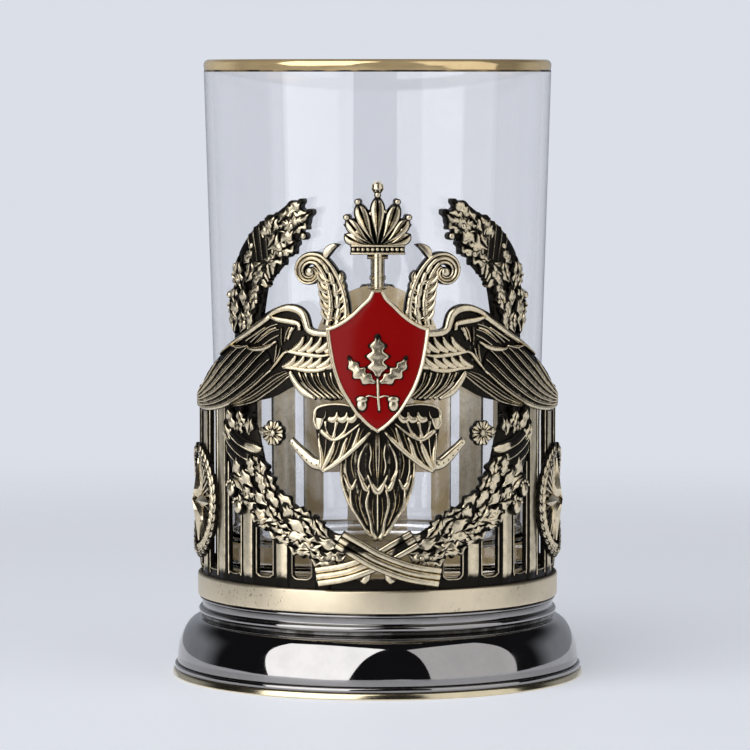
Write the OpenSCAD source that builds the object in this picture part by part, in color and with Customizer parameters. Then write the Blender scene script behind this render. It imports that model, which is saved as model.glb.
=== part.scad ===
// Podstakannik: a metal holder for a tea glass, with the glass standing in it.
// Millimetres, +Z up, origin at the centre of the underside, front towards -Y.
// Ornament is laid out on the unrolled wall: s is arc length from the front, z is height.

/* [Tea glass] */
// Outer diameter of the glass at its rim
glass_rim_d = 68.5; // [66:0.5:69]
// Outer diameter of the glass at its foot
glass_foot_d = 62.4; // [58:0.2:64]
// Height of the glass
glass_h = 101.2; // [90:0.2:120]
// Thickness of the glass wall
glass_wall = 1.7; // [1.2:0.1:2.5]
// Thickness of the glass bottom
glass_bottom = 7; // [4:0.5:10]
// Height of the gold band round the lip
gold_h = 2.4; // [1.5:0.1:4]

/* [Foot] */
// Diameter of the pale base plate, the widest round piece
foot_d = 81.4; // [78:0.2:90]
// Thickness of the base plate
plate_t = 1.3; // [1:0.1:2]
// Largest diameter of the dark moulding above the plate
foot_bulge_d = 79.4; // [76:0.2:80]
// Height of the deck that the wall band stands on
deck_z = 15.7; // [14:0.1:18]
// Height of the bead moulding under the deck
bead_h = 3.1; // [2.4:0.1:4]
// Thickness of the foot's shell
foot_wall = 2; // [1.5:0.1:3]

/* [Wall] */
// Clearance between the glass and the wall, where it is least
glass_gap = 0.44; // [0.3:0.01:1]
// Thickness of the cast posts and rails
cast_t = 1.2; // [1:0.1:2]
// Thickness of the thinner wall between the posts
web_t = 0.7; // [0.5:0.1:0.9]
// Height of the plain band round the bottom
band_h = 4.6; // [3:0.1:7]
// How far the band stands proud of the posts
band_proud = 0.4; // [0.2:0.1:1]
// Thickness of the floor that the glass stands on
floor_t = 2; // [1.5:0.1:3]
// Height of the top of the rail above the base
rail_top_z = 57; // [56:0.2:58]
// Height of the rail
rail_h = 3; // [2:0.1:5]
// Height of the solid sill under the windows
sill_h = 1.9; // [1.2:0.1:3]
// Width of a post
post_w = 3; // [2:0.1:3.6]
// Arc length from the front to the first post
first_post_s = 10.8; // [10:0.1:12]
// Arc length from post to post
post_pitch = 8.54; // [8.3:0.02:8.7]
// Width of a window
window_w = 3.9; // [2.5:0.1:4.4]

/* [Back plate and handle] */
// Half the width of the back plate along the wall
back_half_w = 15.4; // [15:0.1:15.6]
// Height of the top of the arch
arch_top_z = 75; // [70:0.5:80]
// Width of the handle
handle_w = 8; // [6:0.5:10]
// Thickness of the handle's strap
handle_t = 3.4; // [2.5:0.1:4.5]
// How far the handle reaches behind the wall
handle_reach = 25; // [22:0.5:32]
// Height of the upper rivet pad's middle
pad_high_z = 64; // [60:0.5:66]
// Height of the lower rivet pad's middle
pad_low_z = 33; // [30:0.5:36]
// Diameter of a rivet
rivet_d = 2.4; // [1.6:0.1:2.8]

/* [Crest] */
// Height of the tip of the shield
shield_tip_z = 50.6; // [50:0.1:51.5]
// Height of the shield
shield_h = 27; // [26:0.1:27.6]
// Width of the shield
shield_w = 18.2; // [17:0.1:19]
// Width of the shield's metal border
border_w = 0.75; // [0.5:0.05:1]
// Height of the top of the knob on the finial
crest_top_z = 98.3; // [97:0.1:100]
// Width of the palmette
palmette_w = 14.2; // [12:0.1:15]
// Arc length from the front to the tip of a wing
wing_reach = 50.4; // [49:0.2:51]
// Height of a wing
wing_h = 22.6; // [22:0.1:23]
// Thickness of a wing without its feather ridges
wing_t = 0.9; // [0.7:0.05:1]

/* [Wreath] */
// Arc length from the front to the top of a garland
garland_reach = 29.6; // [29:0.1:30]
// Thickness of a garland
garland_t = 1.5; // [1.1:0.1:1.8]
// Arc length from the front to the far side of a branch's middle line
branch_reach = 29.6; // [29:0.1:30]
// Height of the tip of a branch
branch_top_z = 93.8; // [93:0.1:95]
// Diameter of a side medallion's wreath
medallion_d = 23; // [21:0.2:23.4]
// Arc length from the front to the middle of a medallion
medallion_s = 48.6; // [48:0.1:49.5]
// Height of the middle of a medallion
medallion_z = 35; // [34:0.1:35.6]

/* [Hidden] */
$fn = 96;

// Clearance between stacked layers of ornament, and between pieces side by side
layer_gap = 0.1;
side_gap = 0.3;
// Overrun of every cut past the face it opens
over = 1;
// Overlap of outlines that join
lap = 0.5;

// Heights from the foot up
band_top_z = deck_z + band_h;
floor_z = band_top_z - 2 * side_gap;
glass_z = floor_z + side_gap;
rim_z = glass_z + glass_h;
sill_top_z = band_top_z + sill_h;

// Radii of the wall and of the layers in front of it
taper = (glass_rim_d - glass_foot_d) / 2 / glass_h;
glass_top_r = glass_foot_d / 2 + taper * (crest_top_z - glass_z);
bore_r = max(glass_foot_d / 2, glass_top_r) + glass_gap;
wall_r = bore_r + cast_t;
web_r = bore_r + web_t;
relief_r = wall_r + layer_gap;
ridge_h = 0.5;
wing_r = relief_r + wing_t;
garland_r = relief_r + garland_t;
lobe_back_r = wing_r + ridge_h + layer_gap;
lobe_t = 1.1;
lobe_r = lobe_back_r + lobe_t;
shield_back_r = lobe_r + layer_gap;
shield_t = 1.2;
shield_r = shield_back_r + shield_t;
enamel_t = 0.9;
enamel_r = shield_back_r + enamel_t;

// Point on the wall: arc length s from the front, radius r, height z
function arc_angle(s) = s / wall_r * 180 / PI;
function on_wall(s, r, z) = [r * sin(arc_angle(s)), -r * cos(arc_angle(s)), z];
// Arc length of a point of the wall that lies a flat distance x from the middle
function flat_arc(x) = asin(x / wall_r) * PI / 180 * wall_r;

// Smooth curve through a list of points, read at position t along the list
function curve_at(list, t) =
    let (last = len(list) - 1, i = min(floor(t), last - 1), f = t - i,
        a = list[max(i - 1, 0)], b = list[i], c = list[i + 1], d = list[min(i + 2, last)])
    (2 * b + (c - a) * f + (2 * a - 5 * b + 4 * c - d) * f * f
        + (3 * b - a - 3 * c + d) * f * f * f) / 2;
function curve(list, steps) =
    [for (i = [0 : steps]) curve_at(list, i * (len(list) - 1) / steps)];
// Points from shares of a width and a height, above a starting height
function placed(shares, width, height, z) =
    [for (share = shares) [share[0] * width, z + share[1] * height]];

// Closed solid between an outer and an inner grid of points, both [along][across]
module grid_solid(outer, inner) {
    nu = len(outer) - 1;
    nv = len(outer[0]) - 1;
    row = nv + 1;
    layer = (nu + 1) * row;
    points = concat([for (line = outer) each line], [for (line = inner) each line]);
    skins = [for (i = [0 : nu - 1], j = [0 : nv - 1])
        let (p = i * row + j, q = p + row)
        each [[p, p + 1, q + 1], [p, q + 1, q],
            [layer + p, layer + q + 1, layer + p + 1], [layer + p, layer + q, layer + q + 1]]];
    ends = [for (j = [0 : nv - 1])
        let (p = j, q = nu * row + j)
        each [[p, layer + p, layer + p + 1], [p, layer + p + 1, p + 1],
            [q, q + 1, layer + q + 1], [q, layer + q + 1, layer + q]]];
    edges = [for (i = [0 : nu - 1])
        let (p = i * row, q = p + row, r = p + nv, t = r + row)
        each [[p, q, layer + q], [p, layer + q, layer + p],
            [r, layer + r, layer + t], [r, layer + t, t]]];
    polyhedron(points, concat(skins, ends, edges));
}

// Grid of wall points across a strip: spine of [s, z], half widths, a list of radii per line
function strip_grid(spine, halves, radii) =
    let (last = len(spine) - 1, across = len(radii[0]) - 1)
    [for (i = [0 : last])
        let (run = spine[min(i + 1, last)] - spine[max(i - 1, 0)],
            side = [-run[1], run[0]] / norm(run))
        [for (j = [0 : across])
            let (p = spine[i] + side * halves[i] * (2 * j / across - 1))
            on_wall(p[0], radii[i][j], p[1])]];

// Strip with a flat back at back_r and a front that the radii give
module strip(spine, halves, radii, back_r) {
    flat_back = [for (line = radii) [for (r = line) back_r]];
    grid_solid(strip_grid(spine, halves, radii), strip_grid(spine, halves, flat_back));
}

// Ring between two radii
module ring(r_in, r_out, z, h) {
    translate([0, 0, z])
        difference() {
            cylinder(r = r_out, h = h);
            translate([0, 0, -over])
                cylinder(r = r_in, h = h + 2 * over);
        }
}

// The part of a flat outline, facing the front, that lies between two radii
module plaque(r_in, r_out, z, h) {
    intersection() {
        ring(r_in, r_out, z - over, h + 2 * over);
        rotate([90, 0, 0])
            linear_extrude(height = r_out + over)
                children();
    }
}

// Upright box that crosses the wall at arc length s
module wall_box(s, w, r_in, r_out, z, h) {
    rotate([0, 0, arc_angle(s)])
        translate([-w / 2, -r_out, z])
            cube([w, r_out - r_in, h]);
}

// Rounded-foot opening that crosses the wall at arc length s
module wall_window(s, w, z, h) {
    rotate([0, 0, arc_angle(s)])
        rotate([90, 0, 0])
            linear_extrude(height = wall_r + over)
                translate([-w / 2, z]) {
                    translate([0, w / 4])
                        square([w, h - w / 4]);
                    translate([w / 4, 0])
                        square([w / 2, w / 2]);
                    for (x = [w / 4, 3 * w / 4])
                        translate([x, w / 4])
                            circle(r = w / 4, $fn = 24);
                }
}

// Foot

notch_h = 0.9;
notch_d = 78.4;
bulge_z = 4.3;
deck_t = 2;
screw_r = 2.5;
screw_fit = 0.1;
boss_r = 5.5;
band_t = 2.3;
band_r = wall_r + band_proud;
band_in_r = band_r - band_t;
bead_r = wall_r - layer_gap;
bead_z = deck_z - bead_h;

module base_plate() color("wheat") {
    boss_top_z = deck_z - deck_t;
    bore_depth = boss_top_z - 2 * plate_t;
    difference() {
        union() {
            cylinder(r = foot_d / 2, h = plate_t);
            cylinder(r = boss_r, h = boss_top_z);
        }
        translate([0, 0, boss_top_z - bore_depth])
            cylinder(r = screw_r, h = bore_depth + over);
    }
}

module foot_shell() color("dimgray") {
    bulge_r = foot_bulge_d / 2;
    shoulder = [for (a = [0 : 10 : 90])
        [bead_r + (bulge_r - bead_r) * cos(a), bulge_z + (bead_z - bulge_z) * sin(a)]];
    belly = [for (a = [75 : -15 : 0])
        [bead_r - foot_wall + (bulge_r - bead_r) * cos(a),
            bulge_z + (deck_z - deck_t - bulge_z) * sin(a)]];
    bead_step = bead_h / 3;
    beads = [for (k = [0 : 2], a = [-60 : 30 : 60])
        [bead_r - bead_step / 2 + bead_step / 2 * cos(a),
            bead_z + (k + 1 / 2) * bead_step + bead_step / 2 * sin(a)]];
    rotate_extrude()
        polygon(concat(
            [[foot_d / 2 - notch_h, plate_t], [foot_d / 2 - notch_h / 2, plate_t + notch_h / 2],
                [notch_d / 2, plate_t + notch_h]],
            shoulder, beads,
            [[bead_r, deck_z], [screw_r + screw_fit, deck_z],
                [screw_r + screw_fit, deck_z - deck_t],
                [bead_r - foot_wall, deck_z - deck_t]],
            belly,
            [[bulge_r - foot_wall, plate_t]]));
}

module floor_plate() color("tan") {
    skirt_t = 1.6;
    plate_r = band_in_r - layer_gap;
    head_r = 2 * screw_r;
    rotate_extrude()
        polygon([[screw_r + screw_fit, deck_z], [boss_r, deck_z], [boss_r, floor_z - floor_t],
            [plate_r - skirt_t, floor_z - floor_t], [plate_r - skirt_t, deck_z],
            [plate_r, deck_z], [plate_r, floor_z], [head_r + screw_fit, floor_z],
            [screw_r + screw_fit, floor_z - head_r + screw_r]]);
}

module clamp_screw() color("silver") {
    head_r = 2 * screw_r;
    head_h = head_r - screw_r;
    slot_w = 1;
    tip_z = 3 * plate_t;
    difference() {
        rotate_extrude()
            polygon([[0, tip_z], [screw_r - screw_fit / 2, tip_z],
                [screw_r - screw_fit / 2, floor_z - head_h - screw_fit],
                [head_r - screw_fit / 2, floor_z - screw_fit], [0, floor_z - screw_fit]]);
        translate([-head_r, -slot_w / 2, floor_z - slot_w])
            cube([2 * head_r, slot_w, slot_w + over]);
    }
}

module wall_band() color("wheat") ring(band_in_r, band_r, deck_z, band_h);

// Garland line, used by the posts under it

garland_low_z = 26.4;
garland_top_z = 53.2;
garland_shares = [[0.19, 0], [0.29, 0.055], [0.43, 0.14], [0.57, 0.235], [0.7, 0.335],
    [0.81, 0.435], [0.9, 0.55], [0.94, 0.7], [0.975, 0.86], [1, 1]];
garland_line = placed(garland_shares, garland_reach, garland_top_z - garland_low_z,
    garland_low_z);
function garland_z(s) = lookup(abs(s), garland_line);

// Cage of posts, windows and rail

root_s = branch_reach;
root_half_w = 3.6;
half_turn_s = PI * wall_r;
back_edge_s = half_turn_s - flat_arc(back_half_w);
post_count = floor((back_edge_s - first_post_s - post_w) / post_pitch) + 1;
post_places = [for (k = [0 : post_count - 1]) first_post_s + k * post_pitch];
rail_start_s = root_s + root_half_w + side_gap;
// Posts under the garland stop behind it, the others reach the rail
function post_top(s) = s < rail_start_s ? min(garland_z(s), rail_top_z - rail_h) : rail_top_z;

// Box that opens the wall on the front or the back, as far round as arc length s
module wall_opening(s, z, h, turn) {
    reach = wall_r * sin(min(arc_angle(s), 90));
    rotate([0, 0, turn])
        translate([-reach, -wall_r - over, z])
            cube([2 * reach, wall_r, h + over]);
}

module cage() color("tan") {
    foot_z = band_top_z;
    cage_h = rail_top_z - foot_z;
    back_gap_s = flat_arc(back_half_w + side_gap);
    // Thin wall, cut down in steps behind the garland and pierced by a window in each bay
    difference() {
        ring(bore_r, web_r, foot_z, cage_h);
        for (k = [0 : post_count - 1])
            let (s = post_places[k], low = k == 0 ? sill_top_z : post_top(post_places[k - 1]))
            if (low < rail_top_z - rail_h)
                wall_opening(s, low - (k == 0 ? 0 : side_gap), cage_h, 0);
        wall_opening(back_gap_s, foot_z - over, cage_h + over, 180);
        for (side = [-1, 1], k = [0 : post_count - 2])
            let (s = post_places[k] + post_pitch / 2, top = post_top(post_places[k]))
            wall_window(side * s, window_w, sill_top_z, top - sill_h - sill_top_z);
    }
    intersection() {
        ring(bore_r, wall_r, foot_z, cage_h);
        for (side = [-1, 1], s = post_places)
            wall_box(side * s, post_w, bore_r - over, wall_r + over, foot_z - over,
                post_top(s) - foot_z + over);
    }
    difference() {
        ring(bore_r, wall_r, rail_top_z - rail_h, rail_h);
        wall_opening(rail_start_s, rail_top_z - rail_h - over, rail_h + over, 0);
        wall_opening(back_gap_s, rail_top_z - rail_h - over, rail_h + over, 180);
    }
}

// Back plate: an arch on legs, with the handle's rivet holes

arch_r = 13.6;
leg_top_z = 36.5;
leg_w = 3.8;
pad_w = 10;
pad_h = 7;
pad_t = 2;
rivet_gap = 0.05;
rivet_x = 3.2;
rivet_bore_r = rivet_d / 2 + rivet_gap;
handle_back_r = wall_r + layer_gap;

module rivet_row(r, y_start, y_end) {
    for (x = [-rivet_x, rivet_x], z = [pad_low_z, pad_high_z])
        translate([x, 0, z])
            rotate([-90, 0, 0])
                translate([0, 0, y_start])
                    cylinder(r = r, h = y_end - y_start, $fn = 32);
}

module back_plate() color("tan") {
    leg_pitch = (2 * back_half_w - leg_w) / 3;
    difference() {
        rotate([0, 0, 180])
            plaque(bore_r, wall_r, band_top_z, arch_top_z - band_top_z)
                difference() {
                    union() {
                        translate([-back_half_w, band_top_z])
                            square([2 * back_half_w, arch_top_z - arch_r - band_top_z]);
                        translate([0, arch_top_z - arch_r])
                            circle(r = arch_r);
                    }
                    for (k = [0, 2])
                        translate([-back_half_w + leg_w + k * leg_pitch, sill_top_z])
                            square([leg_pitch - leg_w, leg_top_z - sill_top_z]);
                }
        rivet_row(rivet_bore_r, 0, wall_r + over);
    }
}

strap_shares = [[0, 1], [0.3, 1.12], [0.65, 1.06], [0.88, 0.72], [0.92, 0.4], [0.78, 0.06],
    [0.5, -0.16], [0.2, -0.1], [0, 0]];
thumb_shares = [[0.35, 1.14], [0.6, 1.24], [0.85, 1.3], [1, 1.24]];

// Outline of a strap of even thickness along a line of points
function strap_outline(line, t) =
    let (last = len(line) - 1,
        sides = [for (i = [0 : last])
            let (run = line[min(i + 1, last)] - line[max(i - 1, 0)])
            [-run[1], run[0]] / norm(run) * t / 2])
    concat([for (i = [0 : last]) line[i] + sides[i]],
        [for (i = [last : -1 : 0]) line[i] - sides[i]]);

module handle() color("tan") {
    start_y = handle_back_r + pad_t / 2;
    line = [for (p = placed(strap_shares, handle_reach, pad_high_z - pad_low_z, pad_low_z))
        p + [start_y, 0]];
    thumb = [for (p = placed(thumb_shares, handle_reach, pad_high_z - pad_low_z, pad_low_z))
        p + [start_y, 0]];
    difference() {
        union() {
            rotate([90, 0, 90])
                translate([0, 0, -handle_w / 2])
                    linear_extrude(height = handle_w) {
                        polygon(strap_outline(curve(line, 32), handle_t));
                        polygon(strap_outline(curve(thumb, 8), handle_t / 2));
                    }
            for (z = [pad_high_z, pad_low_z])
                translate([-pad_w / 2, 0, z - pad_h / 2])
                    cube([pad_w, handle_back_r + pad_t, pad_h]);
        }
        translate([0, 0, deck_z])
            cylinder(r = handle_back_r, h = crest_top_z);
        rivet_row(rivet_bore_r, 0, handle_back_r + pad_t + handle_t);
    }
}

module handle_rivets() color("wheat") {
    // A rivet is flush inside the wall, where the glass passes, and proud outside
    tail_h = 0.4;
    head_h = 0.5;
    rivet_row(rivet_d / 2, bore_r - tail_h, handle_back_r + pad_t + head_h);
}

// Garlands, branches and their ribbons

garland_half_shares = [0.5, 0.85, 0.95, 1, 1, 1, 1.05, 1.05, 1, 0.92];
garland_half_w = 4.6;
leaf_edge_share = 0.1;
leaf_h = 0.5;

// Front radii of a leafy strip: a raised middle with alternate leaves standing up
function leafy(lines, across, r_start, r_end, bump, grow) =
    [for (i = [0 : lines])
        let (r = r_start + (r_end - r_start) * min(1, i / (lines * grow)))
        [for (j = [0 : across])
            r - (j == 0 || j == across ? bump : 0) - ((i + j) % 2) * bump]];

module right_garland() color("tan") {
    lines = 34;
    spine = curve(garland_line, lines);
    halves = [for (i = [0 : lines])
        garland_half_w * curve_at(garland_half_shares, i * 9 / lines)
            * (1 - leaf_edge_share * (i % 2))];
    strip(spine, halves, leafy(lines, 6, relief_r + garland_t / 2, garland_r, leaf_h, 1 / 3),
        relief_r);
}

module left_garland() mirror([1, 0, 0]) right_garland();

branch_low_z = garland_top_z - 2.4;
branch_shares = [[1, 0], [1, 0.14], [0.99, 0.28], [0.975, 0.41], [0.945, 0.55], [0.89, 0.7],
    [0.78, 0.79], [0.635, 0.88], [0.545, 0.965], [0.49, 1]];
branch_half_shares = [0.7, 0.7, 0.7, 0.9, 1.05, 1, 1, 1, 0.62, 0.2];
branch_half_w = 5.1;
branch_t = 2.3;
branch_step_share = 0.42;

module right_branch() color("tan") {
    lines = 36;
    spine = curve(placed(branch_shares, branch_reach, branch_top_z - branch_low_z, branch_low_z),
        lines);
    step = branch_step_share * lines;
    out_r = bore_r + side_gap;
    fronts = leafy(lines, 6, out_r + branch_t, out_r + branch_t, leaf_h, 1);
    // The root lies in the cage's layer behind the wing, the leafy part in front of it
    radii = [for (i = [0 : lines]) [for (r = fronts[i]) i < step ? wall_r : r]];
    halves = [for (i = [0 : lines])
        branch_half_w * curve_at(branch_half_shares, i * 9 / lines)
            * (1 - leaf_edge_share * (i % 2))];
    strip(spine, halves, radii, bore_r);
}

module left_branch() mirror([1, 0, 0]) right_branch();

// Crossed ribbons: each binds one garland and passes over or under the other
ribbon_half_w = 1.9;
ribbon_t = 0.9;
ribbon_shares = [[-0.62, 1], [-0.3, 0.72], [0, 0.45], [0.5, 0.15], [1, 0]];
ribbon_reach = 11;
ribbon_low_z = 23;
ribbon_rise = 7.4;

module ribbon_strip(back_r) {
    lines = 12;
    spine = curve(placed(ribbon_shares, ribbon_reach, ribbon_rise, ribbon_low_z), lines);
    radii = [for (i = [0 : lines])
        [for (j = [0 : 6]) back_r + ribbon_t - (j % 2 == 1 ? ribbon_t / 4 : 0)]];
    strip(spine, [for (i = [0 : lines]) ribbon_half_w], radii, back_r);
}

module right_ribbon() color("wheat") ribbon_strip(shield_back_r - layer_gap);

module left_ribbon() color("wheat") mirror([1, 0, 0]) ribbon_strip(garland_r + layer_gap);

// Two club-ended stalks of the garlands, below the crossing
stalk_shares = [[0.25, 1], [0.5, 0.6], [1, 0]];
module garland_stalks() color("wheat") {
    stalk_reach = 2.9;
    stalk_low_z = band_top_z + 1.4;
    stalk_rise = 4.4;
    lines = 8;
    spine = curve(placed(stalk_shares, stalk_reach, stalk_rise, stalk_low_z), lines);
    halves = [for (i = [0 : lines]) 0.12 * stalk_reach + 0.14 * stalk_reach * i / lines];
    radii = [for (i = [0 : lines]) [for (j = [0 : 2]) relief_r + ribbon_t / (j == 1 ? 1 : 2)]];
    for (side = [0, 1])
        mirror([side, 0, 0])
            strip(spine, halves, radii, relief_r);
}

// Wings

wing_low_z = 52.4;
wing_top_shares = [[0.1, 0.76], [0.175, 0.77], [0.245, 0.79], [0.27, 0.885], [0.305, 0.98],
    [0.375, 1], [0.455, 0.92], [0.56, 0.745], [0.69, 0.565], [0.83, 0.38], [0.93, 0.23],
    [1, 0.11]];
wing_low_shares = [[0.1, 0.21], [0.175, 0.17], [0.23, 0.23], [0.285, 0.32], [0.33, 0.28],
    [0.405, 0.195], [0.485, 0.15], [0.61, 0.105], [0.73, 0.06], [0.83, 0.02], [0.92, 0],
    [0.985, 0.05]];

module right_wing() color("tan") {
    lines = 44;
    across = 12;
    low = curve(placed(wing_low_shares, wing_reach, wing_h, wing_low_z), lines);
    top = curve(placed(wing_top_shares, wing_reach, wing_h, wing_low_z), lines);
    // Long feathers run outwards, short ones lie in rows near the shield
    outer = [for (i = [0 : lines])
        [for (j = [0 : across])
            let (f = j / across, p = low[i] * (1 - f) + top[i] * f,
                ridge = i > 0.42 * lines ? j % 2 : (j < across / 2 ? i % 2 : (i + j) % 2))
            on_wall(p[0], wing_r + (j == across ? ridge_h : ridge * ridge_h), p[1])]];
    inner = [for (i = [0 : lines])
        [for (j = [0 : across])
            let (f = j / across, p = low[i] * (1 - f) + top[i] * f)
            on_wall(p[0], relief_r, p[1])]];
    grid_solid(outer, inner);
}

module left_wing() mirror([1, 0, 0]) right_wing();

// Scrolls between the shield and the branches: a broad leaf stem that ends in a coiled volute

scroll_t = 2.4;
volute_r = 3;
volute_s = 12.4;
volute_z = 81;
scroll_low_z = 70.8;
// The stem's middle line, as shares of the way from the shield to the volute and of its height
scroll_shares = [[0.6, 0], [0.575, 0.3], [0.6, 0.6], [0.68, 0.9]];
scroll_half_shares = [1, 0.85, 0.68, 0.5, 0.36];

module right_scroll() color("tan") {
    turns = 1.1;
    coil_steps = 22;
    stem_steps = 8;
    coil = [for (k = [0 : coil_steps])
        let (f = k / coil_steps, a = 160 - 360 * turns * f, r = volute_r * (1 - 0.7 * f))
        [volute_s + r * cos(a), volute_z + r * sin(a)]];
    stem = placed(scroll_shares, volute_s, volute_z - scroll_low_z, scroll_low_z);
    spine = concat(curve(concat(stem, [coil[0]]), stem_steps), [for (k = [1 : coil_steps]) coil[k]]);
    halves = [for (i = [0 : stem_steps + coil_steps])
        i < stem_steps ? volute_r * curve_at(scroll_half_shares, i * 4 / stem_steps) :
            volute_r * (0.27 - 0.1 * (i - stem_steps) / coil_steps)];
    radii = [for (i = [0 : stem_steps + coil_steps])
        [for (j = [0 : 4]) relief_r + scroll_t - (j % 2 == 0 ? 0 : scroll_t / 5)]];
    strip(spine, halves, radii, relief_r);
}

module left_scroll() mirror([1, 0, 0]) right_scroll();

// Shield: points of the right edge from the tip up, as shares of half width and height

shield_shares = [[0, 0], [0.2, 0.05], [0.41, 0.13], [0.59, 0.225], [0.75, 0.33], [0.88, 0.47],
    [0.96, 0.62], [1, 0.74], [0.86, 0.755], [0.68, 0.79], [0.5, 0.84], [0.34, 0.9], [0.2, 0.95],
    [0.13, 1]];

module shield_outline(inset) {
    half = placed(shield_shares, shield_w / 2, shield_h, shield_tip_z);
    line = concat(half, [for (i = [len(half) - 1 : -1 : 1]) [-half[i][0], half[i][1]]]);
    middle = [0, shield_tip_z + 0.6 * shield_h];
    // The inner outline keeps an even border by moving each point along the edge's normal
    count = len(line);
    polygon([for (i = [0 : count - 1])
        let (run = line[(i + 1) % count] - line[(i + count - 1) % count],
            side = [-run[1], run[0]] / norm(run), p = line[i] + side * inset)
        p]);
}

module shield_frame() color("wheat") {
    plaque(shield_back_r, shield_r, shield_tip_z, shield_h)
        difference() {
            shield_outline(0);
            shield_outline(border_w);
        }
}

module shield_enamel() color("firebrick") {
    plaque(shield_back_r, enamel_r, shield_tip_z, shield_h)
        shield_outline(border_w + layer_gap / 2);
}

// Oak sprig on the enamel: a stem, three leaves and two acorns
module oak_leaf(x, z, turn, size) {
    lobes = 3;
    translate([x, z])
        rotate(turn)
            polygon([for (side = [1, -1], k = [0 : 12])
                let (f = side == 1 ? k / 12 : 1 - k / 12,
                    w = size * 0.3 * sin(180 * f) * (1 - 0.35 * abs(cos(180 * lobes * f))))
                [side * w, size * f]]);
}

module oak_sprig() color("wheat") {
    sprig_t = 0.6;
    leaf = shield_h * 0.26;
    acorn = shield_h * 0.06;
    low = shield_tip_z + shield_h * 0.2;
    stem_w = 0.7;
    plaque(enamel_r + layer_gap / 2, enamel_r + sprig_t, shield_tip_z, shield_h) {
        translate([-stem_w / 2, low])
            square([stem_w, leaf]);
        oak_leaf(0, low + leaf * 0.9, 0, leaf * 1.2);
        oak_leaf(0, low + leaf * 0.55, 52, leaf);
        oak_leaf(0, low + leaf * 0.55, -52, leaf);
        for (side = [-1, 1])
            translate([side * acorn * 1.5, low + leaf * 0.2])
                circle(r = acorn, $fn = 24);
    }
}

// Finial: a baluster, a collar and a fan of petals, with a knob on top

collar_z = 84.4;
collar_h = 1.9;
knob_h = 2.6;

module finial() color("wheat") {
    baluster_w = 2.6;
    baluster_z = shield_tip_z + shield_h + layer_gap;
    fan_z = collar_z + collar_h;
    fan_h = crest_top_z - knob_h - fan_z;
    petals = 7;
    front_r = shield_r;
    plaque(relief_r, front_r, baluster_z, crest_top_z - baluster_z) {
        translate([-baluster_w / 2, baluster_z])
            square([baluster_w, collar_z - baluster_z + lap]);
        translate([-palmette_w / 3, collar_z])
            square([2 * palmette_w / 3, collar_h + lap]);
        translate([0, fan_z])
            polygon(concat([[-palmette_w / 4, 0], [palmette_w / 4, 0]],
                [for (k = [0 : 28])
                    let (a = 8 + 164 * k / 28,
                        notch = 1 - 0.12 * abs(cos(180 * petals * k / 28)),
                        reach = norm([palmette_w / 2 * cos(a), fan_h * sin(a)]))
                    reach * notch * [cos(a), sin(a)]]));
    }
}

module finial_knob() color("wheat") {
    knob_r = knob_h / 2;
    translate([0, -(relief_r + shield_r) / 2, crest_top_z - knob_r])
        sphere(r = knob_r - layer_gap, $fn = 32);
}

// Lobes and tail

lobe_z = 43;
lobe_h = 13.6;
lobe_top_shares = [[0.1, 0.93], [0.45, 0.97], [0.85, 1], [1, 0.93]];
lobe_low_shares = [[0.02, 0.42], [0.3, 0.25], [0.62, 0.1], [0.88, 0.01]];

// Fan of ribs between a low line and a top line
module fan(low, top, lines, across, back_r, t, rib) {
    a = curve(low, lines);
    b = curve(top, lines);
    outer = [for (i = [0 : lines])
        [for (j = [0 : across])
            let (f = j / across, p = a[i] * (1 - f) + b[i] * f)
            on_wall(p[0], back_r + t - (i % 2) * rib - (j == 0 ? rib : 0), p[1])]];
    inner = [for (i = [0 : lines])
        [for (j = [0 : across])
            let (f = j / across, p = a[i] * (1 - f) + b[i] * f)
            on_wall(p[0], back_r, p[1])]];
    grid_solid(outer, inner);
}

module right_lobe() color("tan") {
    lobe_w = 12.4;
    start_s = side_gap;
    low = [for (p = placed(lobe_low_shares, lobe_w, lobe_h, lobe_z)) p + [start_s, 0]];
    top = [for (p = placed(lobe_top_shares, lobe_w, lobe_h, lobe_z)) p + [start_s, 0]];
    fan(low, top, 12, 4, lobe_back_r, lobe_t, ridge_h);
}

module left_lobe() mirror([1, 0, 0]) right_lobe();

module tail_husk() color("tan") {
    tail_z = 29.6;
    tail_h = 22;
    tail_half_w = 7.4;
    width_shares = [0.06, 0.34, 0.62, 0.82, 0.96, 1, 1, 0.92, 0.8];
    lines = 16;
    across = 10;
    spine = [for (i = [0 : lines]) [0, tail_z + tail_h * i / lines]];
    halves = [for (i = [0 : lines]) tail_half_w * curve_at(width_shares, i * 8 / lines)];
    radii = [for (i = [0 : lines])
        [for (j = [0 : across]) wing_r + ridge_h * (j == across / 2 ? 1 : (i + j) % 2 / 2)]];
    strip(spine, halves, radii, relief_r);
}

// Stems that tie the lobes to the garlands, each with a rosette on it

rosette_s = 20.6;
rosette_z = 50;
rosette_r = 2.6;
stem_shares = [[0, 0], [0.3, 0.12], [0.62, 0.5], [1, 1]];

module right_stem() color("wheat") {
    stem_s = 10.4;
    stem_z = 44.2;
    lines = 10;
    reach = rosette_s - rosette_r - wing_t - side_gap - stem_s;
    rise = rosette_z - rosette_r / 3 - stem_z;
    spine = [for (p = curve(placed(stem_shares, reach, rise, stem_z), lines)) p + [stem_s, 0]];
    radii = [for (i = [0 : lines]) [for (j = [0 : 2]) relief_r + (j == 1 ? 1.2 : 0.7) * wing_t]];
    strip(spine, [for (i = [0 : lines]) wing_t], radii, relief_r);
}

module left_stem() mirror([1, 0, 0]) right_stem();

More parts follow.
